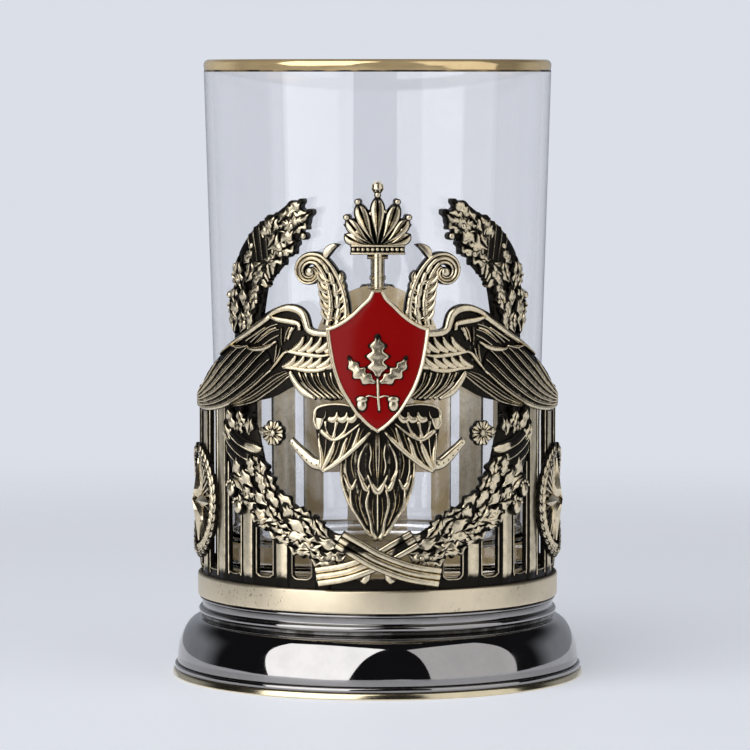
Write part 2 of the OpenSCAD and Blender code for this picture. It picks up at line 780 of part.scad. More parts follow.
module right_rosette() color("tan") {
    reach = garland_z_reach(rosette_z) - garland_half_w * max(garland_half_shares) - side_gap;
    // A flower with a tapering leaf that runs out to the garland
    lines = 12;
    spine = [for (i = [0 : lines])
        [rosette_s - rosette_r + (reach - rosette_s + rosette_r) * i / lines, rosette_z]];
    halves = [for (i = [0 : lines])
        let (f = i / lines, bump = 1 - 0.14 * (i % 2))
        rosette_r * (f < 0.5 ? sin(90 + 180 * (f - 0.3)) : 0.6) * bump];
    radii = [for (i = [0 : lines])
        [for (j = [0 : 4]) relief_r + wing_t + ((i + j) % 2) * ridge_h]];
    strip(spine, halves, radii, relief_r);
}

// Arc length at which the garland's middle line reaches a height
function garland_z_reach(z) = lookup(z, [for (p = garland_line) [p[1], p[0]]]);

module left_rosette() mirror([1, 0, 0]) right_rosette();

// Side medallions: a round wreath with a faceted star in it

medallion_ring_w = 3;

module right_medallion() color("tan") {
    steps = 40;
    middle_r = medallion_d / 2 - medallion_ring_w / 2;
    spine = [for (k = [0 : steps])
        let (a = -90 - 356 * k / steps)
        [medallion_s + middle_r * cos(a), medallion_z + middle_r * sin(a)]];
    halves = [for (k = [0 : steps]) medallion_ring_w / 2 * (1 - leaf_edge_share * (k % 2))];
    radii = [for (k = [0 : steps])
        [for (j = [0 : 4]) relief_r + wing_t + ((j + k) % 2) * ridge_h]];
    strip(spine, halves, radii, relief_r);
}

module left_medallion() mirror([1, 0, 0]) right_medallion();

module right_star() color("wheat") {
    long_r = medallion_d / 2 - medallion_ring_w - side_gap;
    // The star's flat back stands off far enough for its middle to clear the posts
    back_r = relief_r + pow(long_r, 2) / (8 * wall_r);
    short_r = 0.36 * long_r;
    star_t = 1.4;
    edge_t = 0.4;
    count = 8;
    rim = [for (k = [0 : 2 * count - 1])
        let (a = 90 + 180 * k / count,
            r = k % 2 == 1 ? short_r : (k % 4 == 0 ? long_r : 0.62 * long_r))
        [medallion_s + r * cos(a), medallion_z + r * sin(a)]];
    n = len(rim);
    points = concat([for (p = rim) on_wall(p[0], back_r + edge_t, p[1])],
        [for (p = rim) on_wall(p[0], back_r, p[1])],
        [on_wall(medallion_s, back_r + star_t, medallion_z),
            on_wall(medallion_s, back_r, medallion_z)]);
    polyhedron(points, [for (k = [0 : n - 1])
        let (m = (k + 1) % n)
        each [[k, 2 * n, m], [n + m, 2 * n + 1, n + k], [k, m, n + m], [k, n + m, n + k]]]);
}

module left_star() mirror([1, 0, 0]) right_star();

// Tea glass

module tea_glass() color("azure", 0.4) {
    rim_r = glass_rim_d / 2;
    foot_r = glass_foot_d / 2;
    edge = 1.5;
    lip_z = rim_z - gold_h;
    lip_r = rim_r - (rim_r - foot_r) * gold_h / glass_h;
    rotate_extrude()
        polygon([[0, glass_z + side_gap], [foot_r * 0.7, glass_z + side_gap],
            [foot_r * 0.8, glass_z], [foot_r - edge, glass_z], [foot_r, glass_z + edge],
            [lip_r, lip_z], [lip_r - glass_wall, lip_z],
            [foot_r - glass_wall, glass_z + glass_bottom + edge],
            [foot_r - glass_wall - edge, glass_z + glass_bottom], [0, glass_z + glass_bottom]]);
}

module gold_rim() color("gold") {
    rim_r = glass_rim_d / 2;
    lip_r = rim_r - (rim_r - glass_foot_d / 2) * gold_h / glass_h;
    round_h = glass_wall / 4;
    translate([0, 0, rim_z - gold_h])
        rotate_extrude()
            polygon([[lip_r - glass_wall, 0], [lip_r, 0], [rim_r, gold_h - round_h],
                [rim_r - round_h, gold_h], [rim_r - glass_wall + round_h, gold_h],
                [rim_r - glass_wall, gold_h - round_h]]);
}

base_plate();
foot_shell();
clamp_screw();
wall_band();
floor_plate();
cage();
back_plate();
handle();
handle_rivets();
left_garland();
right_garland();
left_branch();
right_branch();
left_wing();
right_wing();
left_scroll();
right_scroll();
shield_frame();
shield_enamel();
oak_sprig();
finial();
finial_knob();
left_lobe();
right_lobe();
tail_husk();
left_stem();
right_stem();
left_rosette();
right_rosette();
left_ribbon();
right_ribbon();
garland_stalks();
left_medallion();
right_medallion();
left_star();
right_star();
tea_glass();
gold_rim();
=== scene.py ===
import math

import bpy
import numpy as np
from bpy.props import FloatProperty, FloatVectorProperty, IntProperty, PointerProperty
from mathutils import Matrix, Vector


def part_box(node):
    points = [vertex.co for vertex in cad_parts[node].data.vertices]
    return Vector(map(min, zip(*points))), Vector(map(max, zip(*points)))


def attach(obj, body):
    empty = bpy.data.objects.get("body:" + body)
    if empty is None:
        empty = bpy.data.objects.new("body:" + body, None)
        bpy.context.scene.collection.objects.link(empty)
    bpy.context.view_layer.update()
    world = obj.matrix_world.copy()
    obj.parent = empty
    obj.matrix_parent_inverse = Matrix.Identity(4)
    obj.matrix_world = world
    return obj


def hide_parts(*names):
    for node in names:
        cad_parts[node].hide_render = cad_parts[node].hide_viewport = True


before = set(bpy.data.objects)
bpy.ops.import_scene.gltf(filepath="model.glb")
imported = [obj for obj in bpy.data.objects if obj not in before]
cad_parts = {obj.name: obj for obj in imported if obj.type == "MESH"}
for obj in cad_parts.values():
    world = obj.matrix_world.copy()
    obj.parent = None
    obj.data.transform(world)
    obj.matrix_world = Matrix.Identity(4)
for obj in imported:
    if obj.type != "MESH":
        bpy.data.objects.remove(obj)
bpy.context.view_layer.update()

bl_info = {
    "name": "Podstakannik dressing",
    "version": (1, 0, 0),
    "blender": (4, 5, 0),
    "location": "View3D > Sidebar > Podstakannik",
    "description": "Builds the ornament, the turned foot and the tea glass on the packed frame",
    "category": "Object",
}

MM = 0.001
# Radii in mm of the wall on which the ornament is laid out, and of the ornament's back
WALL_R, RELIEF_R = 35.2, 35.3
HOLDER, GLASS = "holder", "glass"


# Shapes. On the unrolled wall a point is (arc length from the front, height, radius) in mm.

def curve(points, count):
    """Evenly spaced points on a smooth line through some points."""
    p = np.asarray(points, float)
    p = np.vstack([2 * p[0] - p[1], p, 2 * p[-1] - p[-2]])
    t = np.linspace(0, 1, 16, endpoint=False)[:, None]
    runs = [0.5 * (2 * b + (c - a) * t + (2 * a - 5 * b + 4 * c - d) * t ** 2
                   + (3 * b - a - 3 * c + d) * t ** 3)
            for a, b, c, d in zip(p, p[1:], p[2:], p[3:])]
    line = np.vstack(runs + [p[-2:-1]])
    far = np.concatenate([[0], np.cumsum(np.linalg.norm(np.diff(line, axis=0), axis=1))])
    at = np.linspace(0, far[-1], count)
    return np.stack([np.interp(at, far, line[:, k]) for k in range(line.shape[1])], 1)


def shares(table, at, size):
    """Points of a table of shares, scaled by size and moved to at."""
    return np.asarray(table, float) * size + at


def bent(start, end, bend, count=12):
    """A line from start to end that bows to its left by bend, a share of its length."""
    a, b = np.asarray(start, float), np.asarray(end, float)
    run = b - a
    t = np.linspace(0, 1, count)[:, None]
    return a + run * t + np.array([-run[1], run[0]]) * bend * 4 * t * (1 - t)


def unit(angle):
    """The direction at an angle from the first axis towards the second."""
    return np.array([math.cos(angle), math.sin(angle)])


def normals_of(line, ring=False):
    """Unit vectors to the right of a line, or of a closed one."""
    run = np.roll(line, -1, 0) - np.roll(line, 1, 0) if ring else np.gradient(line, axis=0)
    run /= np.maximum(np.linalg.norm(run, axis=1, keepdims=True), 1e-9)
    return np.stack([run[:, 1], -run[:, 0]], 1)


def smooth(x, low, high):
    """A soft step from 0 at low to 1 at high."""
    t = np.clip((x - low) / (high - low), 0, 1)
    return t * t * (3 - 2 * t)


def faded(t, reach, power=1.0, least=0.0):
    """1 along a line, and down to least over the share reach at both its ends."""
    return np.clip(np.minimum(t, 1 - t) / reach, least, 1) ** power


def flat_top(u, power=5.0):
    """A section with a flat top and rounded edges."""
    return np.clip(1 - np.abs(u) ** power, 0, 1)


def round_top(u, reach=0.95):
    """The section of a rounded bar."""
    return np.sqrt(1 - (reach * u) ** 2)


def value_of(given, *at):
    """What is given, or what it returns at some place."""
    return given(*at) if callable(given) else given


class Shells:
    """Closed shells that become one mesh. Relief is 1 on a ridge and 0 in a recess; some pieces
    give it a tone that holds painted highlights and painted shade.
    """

    def __init__(self):
        self.points, self.relief, self.quads, self.tris, self.count = [], [], [], [], 0

    def add(self, points, relief, quads, tris, flip=False):
        """Adds one shell; flip turns its faces inside out."""
        turn = -1 if flip else 1
        self.points.append(points)
        self.relief.append(np.clip(relief, 0, 1))
        self.quads.append(np.asarray(quads, int).reshape(-1, 4)[:, ::turn] + self.count)
        self.tris.append(np.asarray(tris, int).reshape(-1, 3)[:, ::turn] + self.count)
        self.count += len(points)

    def grid(self, front, relief, back, ring=False, inside=0.38):
        """A shell with a front of rows of points and a flat back at radius back.

        The relief of the back is inside.
        """
        m, n = front.shape[:2]
        f = np.arange(m * n).reshape(m, n)
        left, right = m * n + np.arange(m), m * n + m + np.arange(m)
        rims = np.vstack([front[:, 0], front[:, -1]])
        rims[:, 2] = np.concatenate([np.broadcast_to(back, m)] * 2)
        if ring:
            f, left, right = (np.concatenate([x, x[:1]]) for x in (f, left, right))
        quads = [np.stack([f[:-1, :-1], f[:-1, 1:], f[1:, 1:], f[1:, :-1]], -1).reshape(-1, 4),
                 np.stack([f[:-1, 0], f[1:, 0], left[1:], left[:-1]], -1),
                 np.stack([f[1:, -1], f[:-1, -1], right[:-1], right[1:]], -1),
                 np.stack([left[:-1], left[1:], right[1:], right[:-1]], -1)]
        tris = []
        if not ring:
            a, z = f[0], f[-1]
            tris = [(left[0], right[0], a[-1])] + [(left[0], a[j + 1], a[j]) for j in range(n - 1)]
            tris += [(left[-1], z[-1], right[-1])] + [(left[-1], z[j], z[j + 1])
                                                      for j in range(n - 1)]
        across, along = front[:-1, 1:] - front[:-1, :-1], front[1:, :-1] - front[:-1, :-1]
        turn = (across[..., 0] * along[..., 1] - across[..., 1] * along[..., 0]).sum()
        low = np.full(2 * m, inside)
        self.add(np.vstack([front.reshape(-1, 3), rims]),
                 np.concatenate([np.broadcast_to(relief, (m, n)).ravel(), low]),
                 np.vstack(quads), tris, turn < 0)

    def strip(self, line, half, rise, base, back=RELIEF_R, across=8, ring=False, tone=None,
              dark=0.35):
        """A band along a line. rise(t, u) is its height over base, u runs -1 to 1 across it.

        Its relief is tone, or follows its height and is 0 below the share dark of it.
        """
        line = np.asarray(line, float)
        m = len(line)
        t = np.linspace(0, 1, m)[:, None]
        u = np.sin(np.pi / 2 * np.linspace(-1, 1, across + 1))[None]
        half = np.broadcast_to(value_of(half, t[:, 0]), m)
        side = normals_of(line, ring)
        flat = line[:, None] + side[:, None] * (half[:, None] * u)[..., None]
        high = rise(t, u) * np.ones((m, across + 1))
        base = np.broadcast_to(base, m)[:, None]
        if tone is None:
            relief = (high / high.max() - dark) / (1 - dark)
        else:
            relief = value_of(tone, t, u) * np.ones_like(high)
        self.grid(np.dstack([flat, base + high]), relief, back, ring)

    def join(self, other):
        """Takes over the shells of another set."""
        self.points += other.points
        self.relief += other.relief
        self.quads += [q + self.count for q in other.quads]
        self.tris += [t + self.count for t in other.tris]
        self.count += other.count

    def mirrored(self):
        """The same shells on the other side of the front."""
        other = Shells()
        for p, r, q, t in zip(self.points, self.relief, self.quads, self.tris):
            other.points.append(p * [-1, 1, 1])
            other.relief.append(r)
            other.quads.append(q[:, ::-1])
            other.tris.append(t[:, ::-1])
        other.count = self.count
        return other


def wrapped(points):
    """Points of the unrolled wall, in metres in the frame."""
    a = points[:, 0] / WALL_R
    return np.stack([points[:, 2] * np.sin(a), -points[:, 2] * np.cos(a), points[:, 1]], 1) * MM


def piece(name, shells, slot, material, body=HOLDER, place=wrapped, sharp=40):
    """Makes the mesh of some shells, which stands for the node of that name."""
    mesh = bpy.data.meshes.new(name)
    faces = np.vstack(shells.quads).tolist() + np.vstack(shells.tris).tolist()
    mesh.from_pydata(place(np.vstack(shells.points)), [], faces)
    mesh.validate()
    relief = mesh.attributes.new("relief", "FLOAT", "POINT")
    relief.data.foreach_set("value", np.concatenate(shells.relief).astype(np.float32))
    mesh.shade_smooth()
    mesh.set_sharp_from_angle(angle=math.radians(sharp))
    mesh.materials.append(material)
    made = bpy.data.objects.new("detail_" + name, mesh)
    bpy.context.scene.collection.objects.link(made)
    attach(made, body)
    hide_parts(name)


def rounded(corners, steps):
    """A closed profile of (radius, height, fillet[, relief]) with its corners rounded."""
    out = []
    count = len(corners)
    for k, corner in enumerate(corners):
        p = np.array(corner[:2], float)
        fillet = corner[2] if len(corner) > 2 else 0
        relief = corner[3] if len(corner) > 3 else 1
        if not fillet:
            out.append((*p, relief))
            continue
        a, b = (np.array(corners[j][:2], float) - p for j in ((k - 1) % count, (k + 1) % count))
        la, lb = np.linalg.norm(a), np.linalg.norm(b)
        reach = min(fillet, la * 0.49, lb * 0.49)
        for t in np.linspace(0, 1, steps + 1):
            q = p + (1 - t) ** 2 * a / la * reach + t ** 2 * b / lb * reach
            out.append((*q, relief))
    return np.array(out)


def lathe(profile, segments):
    """A turned body from a closed profile of (radius, height, relief); it may touch the axis."""
    p = np.asarray(profile, float)
    if (p[:, 0] * np.roll(p[:, 1], -1) - np.roll(p[:, 0], -1) * p[:, 1]).sum() < 0:
        p = p[::-1]
    a = np.linspace(0, 2 * np.pi, segments, endpoint=False)
    points, rows = [], []
    for r, z, _ in p:
        first = sum(len(x) for x in points)
        if r < 1e-6:
            points.append(np.array([[0, 0, z]]))
            rows.append(np.full(segments, first))
        else:
            points.append(np.stack([r * np.sin(a), -r * np.cos(a), np.full(segments, z)], 1))
            rows.append(first + np.arange(segments))
    relief = np.concatenate([np.full(len(x), line[2]) for x, line in zip(points, p)])
    quads, tris = [], []
    for k in range(len(p)):
        low, high = rows[k], rows[(k + 1) % len(p)]
        low2, high2 = np.roll(low, -1), np.roll(high, -1)
        if low[0] == low[1] and high[0] == high[1]:
            continue
        if low[0] == low[1]:
            tris.append(np.stack([low, high2, high], 1))
        elif high[0] == high[1]:
            tris.append(np.stack([low, low2, high], 1))
        else:
            quads.append(np.stack([low, low2, high2, high], 1))
    shells = Shells()
    shells.add(np.vstack(points), relief, np.vstack(quads), np.vstack(tris) if tris else [])
    return shells


def in_mm(points):
    """Points in mm in the frame, in metres."""
    return points * MM


def turned(name, corners, steps, sizes, slot, material, body=HOLDER, sharp=50):
    """Makes a turned piece from the corners of its profile."""
    piece(name, lathe(rounded(corners, steps), sizes.segments), slot, material, body, in_mm, sharp)


# Materials

class Tree:
    """Adds nodes to a shader tree and links or sets their inputs."""

    def __init__(self, tree):
        self.tree = tree

    def add(self, kind, inputs=None, **settings):
        """A new node; each of its inputs is given a value or linked to a socket."""
        node = self.tree.nodes.new("ShaderNode" + kind)
        for key, value in settings.items():
            setattr(node, key, value)
        for key, value in (inputs or {}).items():
            if isinstance(value, bpy.types.NodeSocket):
                self.tree.links.new(value, node.inputs[key])
            else:
                node.inputs[key].default_value = value
        return node

    def math(self, operation, a, b=0.0):
        return self.add("Math", {0: a, 1: b}, operation=operation).outputs[0]

    def ramp(self, value, low, high, out_low=0.0, out_high=1.0):
        return self.add("MapRange", {"Value": value, "From Min": low, "From Max": high,
                                     "To Min": out_low, "To Max": out_high},
                        interpolation_type="SMOOTHSTEP").outputs["Result"]

    def mix(self, share, a, b):
        return self.add("Mix", {0: share, 6: a, 7: b}, data_type="RGBA").outputs[2]

    def place(self):
        """Where a point is on its object, in metres."""
        return self.add("TexCoord").outputs["Object"]

    def relief(self):
        return self.add("Attribute", attribute_name="relief").outputs["Fac"]

    def give(self, sockets, **values):
        """Links values to the sockets of those names; _ stands for a space."""
        for key, socket in values.items():
            self.tree.links.new(socket, sockets[key.replace("_", " ")])

    def noise(self, place, scale, detail=3.0, rough=0.55, turn=0.0):
        return self.add("TexNoise", {"Vector": place, "Scale": scale, "Detail": detail,
                                     "Roughness": rough, "Distortion": turn}).outputs["Fac"]


def group(name, inputs, outputs):
    """A new shader group: its tree, the sockets that feed it and the sockets it feeds."""
    tree = bpy.data.node_groups.new(name, "ShaderNodeTree")
    for key, (kind, value) in inputs.items():
        socket = tree.interface.new_socket(key, in_out="INPUT", socket_type="NodeSocket" + kind)
        socket.default_value = value
    for key, kind in outputs.items():
        tree.interface.new_socket(key, in_out="OUTPUT", socket_type="NodeSocket" + kind)
    start, end = tree.nodes.new("NodeGroupInput"), tree.nodes.new("NodeGroupOutput")
    return Tree(tree), start.outputs, end.inputs


def patina_group():
    """Dark oxide in the recesses of a polished casting, rubbed off its ridges."""
    t, given, out = group(
        "Patina",
        {"Metal": ("Color", (0.75, 0.65, 0.48, 1)), "Oxide": ("Color", (0.02, 0.018, 0.015, 1)),
         "Cover": ("Float", 0.45), "Softness": ("Float", 0.22), "Scale": ("Float", 900.0),
         "Gloss": ("Float", 0.2)},
        {"Color": "Color", "Roughness": "Float", "Height": "Float"})
    place = t.place()
    coarse = t.noise(place, given["Scale"], 4.0, 0.6)
    fine = t.noise(place, t.math("MULTIPLY", given["Scale"], 4.3), 2.0)
    level = t.math("ADD", t.relief(), t.math("MULTIPLY", t.math("SUBTRACT", coarse, 0.5), 0.55))
    mask = t.ramp(level, t.math("SUBTRACT", given["Cover"], given["Softness"]),
                  t.math("ADD", given["Cover"], given["Softness"]))
    wear_and_painted_light = t.math("MULTIPLY", mask, t.ramp(fine, 0.28, 0.45, 0.82, 1.0))
    tone = t.add("HueSaturation", {"Color": given["Metal"],
                                   "Value": t.ramp(coarse, 0.3, 0.7, 0.86, 1.1)}).outputs[0]
    rough = t.math("ADD", given["Gloss"], t.math("MULTIPLY", t.math("SUBTRACT", fine, 0.5), 0.12))
    dull = t.math("MULTIPLY", t.math("SUBTRACT", 1.0, wear_and_painted_light), 0.16)
    t.give(out, Color=t.mix(wear_and_painted_light, given["Oxide"], tone), Roughness=t.math("ADD", rough, dull),
           Height=t.math("ADD", t.math("MULTIPLY", coarse, 0.7), t.math("MULTIPLY", fine, 0.3)))
    return t.tree


def satin_group():
    """Turned metal: faint lines round the axis, specks of oxide, painted shade in the recesses, a
    slow wave.
    """
    t, given, out = group(
        "Turned metal",
        {"Metal": ("Color", (0.8, 0.7, 0.5, 1)), "Speck_and_shade": ("Color", (0.03, 0.025, 0.02, 1)),
         "Specks": ("Float", 0.3), "Gloss": ("Float", 0.15), "Lines": ("Float", 0.3),
         "Recess": ("Float", 1.0), "Wave": ("Float", 0.0)},
        {"Color": "Color", "Roughness": "Float", "Height": "Float"})
    place = t.place()
    x, y, z = t.add("SeparateXYZ", {0: place}).outputs
    radius = t.math("SQRT", t.math("ADD", t.math("MULTIPLY", x, x), t.math("MULTIPLY", y, y)))
    angle = t.math("ARCTAN2", x, y)
    rings = t.add("CombineXYZ", {0: t.math("MULTIPLY", angle, 0.004), 1: radius, 2: z}).outputs[0]
    lines = t.noise(rings, 5200.0, 2.0, 0.7)
    cloud = t.noise(place, 160.0, 4.0, 0.6)
    dots = t.noise(place, 1500.0, 3.0, 0.65)
    spread = t.math("MULTIPLY", t.ramp(t.noise(place, 55.0, 2.0), 0.52, 0.68), given["Specks"])
    # Painted shade where the turned profile's relief is low, in hollows and along edges, broken up
    # by the cloud
    recess = t.math("MULTIPLY", t.ramp(t.relief(), 0.9, 0.1), t.ramp(cloud, 0.3, 0.6, 0.5, 1.0))
    specks_and_painted_shade = t.math("MAXIMUM", t.math("MULTIPLY", t.ramp(dots, 0.6, 0.66), spread),
                   t.math("MULTIPLY", recess, given["Recess"]))
    tone = t.add("HueSaturation", {"Color": given["Metal"],
                                   "Value": t.ramp(cloud, 0.3, 0.7, 0.93, 1.05)}).outputs[0]
    rough = t.math("ADD", given["Gloss"],
                   t.math("MULTIPLY", t.math("SUBTRACT", lines, 0.5), given["Lines"]))
    rough = t.math("ADD", rough, t.math("MULTIPLY", specks_and_painted_shade, 0.3))
    slow = t.math("MULTIPLY", t.noise(place, 130.0, 0.0), given["Wave"])
    t.give(out, Color=t.mix(specks_and_painted_shade, tone, given["Speck_and_shade"]),
           Roughness=t.math("ADD", rough, t.ramp(cloud, 0.45, 0.8, 0.0, 0.05)),
           Height=t.math("ADD", t.math("SUBTRACT", t.math("MULTIPLY", lines, 0.4), specks_and_painted_shade), slow))
    return t.tree


def dust_group():
    """Fingermarks and fine dust on glass and enamel: a mask and a roughness."""
    t, given, out = group(
        "Handling",
        {"Gloss": ("Float", 0.02), "Amount": ("Float", 0.05), "Scale": ("Float", 60.0)},
        {"Roughness": "Float", "Mask": "Float", "Height": "Float"})
    place = t.place()
    smear = t.ramp(t.noise(place, given["Scale"], 4.0, 0.6, 1.2), 0.5, 0.75)
    grain = t.ramp(t.noise(place, t.math("MULTIPLY", given["Scale"], 40.0), 1.0), 0.66, 0.72)
    mask = t.math("MULTIPLY", t.math("MAXIMUM", smear, grain), given["Amount"])
    t.give(out, Roughness=t.math("ADD", given["Gloss"], mask), Mask=mask,
           Height=t.noise(place, t.math("MULTIPLY", given["Scale"], 0.5), 2.0))
    return t.tree


def shader(name, shared, given, bump=0.0, distance=0.0001, **constants):
    """A material whose colour, roughness and bump come from a shared group."""
    material = bpy.data.materials.new(name)
    material.use_nodes = True
    t = Tree(material.node_tree)
    surface = t.tree.nodes["Principled BSDF"].inputs
    for key, constant in constants.items():
        surface[key.replace("_", " ")].default_value = constant
    effect = t.add("Group", given, node_tree=shared).outputs
    if "Color" in effect:
        t.give(surface, Base_Color=effect["Color"])
    if bump:
        t.give(surface, Roughness=effect["Roughness"], Normal=t.add("Bump", {
            "Height": effect["Height"], "Strength": bump, "Distance": distance}).outputs[0])
    return material


def rgb(*levels):
    """Linear colour from levels of 0 to 255."""
    c = [v / 255 for v in levels]
    return tuple(v / 12.92 if v <= 0.04045 else ((v + 0.055) / 1.055) ** 2.4 for v in c) + (1,)


def clear(material, clean, smeared):
    """Glass with faint smears, that lets light through to what stands behind it."""
    t = Tree(material.node_tree)
    smears = next(n for n in t.tree.nodes if n.type == "GROUP").outputs["Mask"]
    shadow = t.math("MULTIPLY", t.add("LightPath").outputs["Is Shadow Ray"], 0.9)
    t.give(t.tree.nodes["Principled BSDF"].inputs, Base_Color=t.mix(smears, clean, smeared),
           Alpha=t.math("SUBTRACT", 1.0, shadow))


def metal_backed(material, metal, colour):
    """Enamel on the front of a piece, and on its back the metal in which it was laid."""
    t = Tree(material.node_tree)
    front = t.ramp(t.relief(), 0.5, 0.9)
    t.give(t.tree.nodes["Principled BSDF"].inputs, Base_Color=t.mix(front, metal, colour),
           Metallic=t.math("SUBTRACT", 1.0, front))


MATERIALS = {}


def finishes(sizes):
    """Makes every finish of the object once."""
    if MATERIALS:
        return MATERIALS
    patina, satin, handling = patina_group(), satin_group(), dust_group()
    oxide, enamel = (*sizes.oxide_colour, 1), (*sizes.enamel_colour, 1)
    for key, name, bump, look in (
            ("casting", "Antiqued casting", 0.15, dict(Cover=0.5, Softness=0.14, Gloss=0.27)),
            ("polished", "Polished casting", 0.08, dict(Cover=0.3, Gloss=0.2)),
            ("posts", "Cast posts", 0.15, dict(Cover=0.68, Softness=0.2, Gloss=0.33, Scale=700.0)),
            ("floor", "Dark floor", 0.1, dict(Cover=1.0, Softness=0.3, Gloss=0.35))):
        look.update(Metal=(*sizes.metal_colour, 1), Oxide=oxide)
        MATERIALS[key] = shader(name, patina, look, bump, Metallic=1.0)
    for key, name, bump, metallic, metal, look in (
            ("plate", "Plain sheet", 0.1, 0.6, rgb(205, 182, 138),
             dict(Specks=0.4, Gloss=0.5, Lines=0.1, Recess=0.0)),
            ("band", "Satin band", 0.04, 1.0, rgb(232, 217, 188),
             dict(Specks=0.6, Gloss=0.36, Lines=0.06)),
            ("brass", "Pale brass", 0.05, 1.0, rgb(226, 212, 180),
             dict(Specks=0.3, Gloss=0.16, Lines=0.08)),
            ("chrome", "Dark chrome", 0.02, 1.0, (*sizes.foot_colour, 1),
             dict(Specks=0.0, Gloss=0.03, Lines=0.02, Wave=40.0)),
            ("steel", "Screw steel", 0.1, 1.0, rgb(190, 192, 196),
             dict(Specks=0.1, Gloss=0.2, Lines=0.2, Recess=0.0)),
            # The gold lip's recess shading paints dark reflections along its lower edge
            ("gold", "Gold lip", 0.05, 0.62, rgb(255, 224, 168),
             dict(Specks=0.1, Gloss=0.09, Lines=0.05, Recess=1.0, Wave=90.0))):
        MATERIALS[key] = shader(name, satin, dict(look, Metal=metal), bump, Metallic=metallic)
    MATERIALS["enamel"] = shader("Red enamel", handling, dict(Gloss=0.2, Amount=0.05, Scale=200.0),
                                 0.05, 0.0003, IOR=1.5, Specular_IOR_Level=0.1)
    metal_backed(MATERIALS["enamel"], oxide, enamel)
    MATERIALS["glass"] = shader("Clear glass", handling, dict(Gloss=0.0, Amount=0.3, Scale=30.0),
                                Roughness=0.0, Transmission_Weight=1.0, IOR=1.47)
    clear(MATERIALS["glass"], (0.935, 0.934, 0.94, 1), (0.85, 0.85, 0.86, 1))
    return MATERIALS


# What a user may set

class HolderSizes(bpy.types.PropertyGroup):
    """Sizes and finishes of the dressed holder"""

    metal_colour: FloatVectorProperty(
        name="Metal", description="Colour of the polished casting", subtype="COLOR",
        default=rgb(233, 218, 187)[:3], min=0, max=1)
    oxide_colour: FloatVectorProperty(
        name="Oxide", description="Colour of the oxide in the recesses", subtype="COLOR",
        default=rgb(37, 34, 30)[:3], min=0, max=1)
    foot_colour: FloatVectorProperty(
        name="Foot", description="Colour of the dark chrome on the foot", subtype="COLOR",
        default=rgb(171, 168, 166)[:3], min=0, max=1)
    enamel_colour: FloatVectorProperty(
        name="Enamel", description="Colour of the enamel on the shield", subtype="COLOR",
        default=rgb(140, 12, 12)[:3], min=0, max=1)
    segments: IntProperty(
        name="Turning segments", description="Faces round each turned piece", default=256,
        min=64, max=512)


class StageSizes(bpy.types.PropertyGroup):
    """Camera and light of the studio"""

    camera_distance: FloatProperty(
        name="Camera distance", description="From the axis of the glass", default=0.84,
        min=0.3, unit="LENGTH")
    camera_height: FloatProperty(
        name="Camera height", description="Above the table", default=0.1183, unit="LENGTH")
    lens: FloatProperty(
        name="Lens", description="Focal length in mm on a 36 mm sensor", default=204.3, min=20)
    pitch: FloatProperty(
        name="Pitch", description="How far the camera looks down", default=math.radians(4.04),
        subtype="ANGLE")
    box_power: FloatProperty(
        name="Softbox power", description="Power of the left softbox", default=14.7,
        min=0, unit="POWER")
    backdrop: FloatVectorProperty(
        name="Backdrop", description="Colour behind the object", subtype="COLOR",
        default=rgb(219, 223, 232)[:3], min=0, max=1)


# Turned pieces

class PODSTAKANNIK_OT_glass(bpy.types.Operator):
    """Blows the tea glass and gilds its lip"""
    bl_idname = "podstakannik.glass"
    bl_label = "Tea glass"

    def execute(self, context):
        sizes = context.scene.holder_sizes
        made = finishes(sizes)
        low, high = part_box("tea_glass")
        lip_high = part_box("gold_rim")[1]
        z0, z1, z2 = low[2] / MM, high[2] / MM, lip_high[2] / MM
        rim = lip_high[0] / MM
        foot, wall, bottom = 31.2, 1.7, 7.0
        lip = rim - (rim - foot) * (z2 - z1) / (z2 - z0)
        turned("tea_glass", [
            (0, z0 + 0.3), (foot * 0.7, z0 + 0.3, 1), (foot * 0.8, z0, 0.8), (foot - 1.2, z0, 1),
            (foot, z0 + 1.5, 1.2), (lip, z1), (lip - wall, z1),
            (foot - wall, z0 + bottom + 1.5, 3), (foot - wall - 1.5, z0 + bottom, 2),
            (0, z0 + bottom)], 6, sizes, "clear_glass", made["glass"], GLASS, 30)
        # Relief 0 along the lower edge of the gold, with the lip's recess shading, paints dark
        # reflections there in patches
        turned("gold_rim", [
            (lip - wall, z1 + 0.01, 0.05, 0), (lip, z1 + 0.01, 0.05, 0), (lip, z1 + 0.1, 0.04, 0),
            (lip - 0.1, z1 + 0.34, 0.04, 0), (lip - 0.08, z1 + 0.42, 0.04, 0.9),
            (rim, z1 + 1.45, 0.5), (rim - 0.22, z1 + 2.05, 0.4), (rim - 0.75, z2, 0.35),
            (rim - wall, z2, 0.6)], 6, sizes, "gold", made["gold"], GLASS, 60)
        return {"FINISHED"}


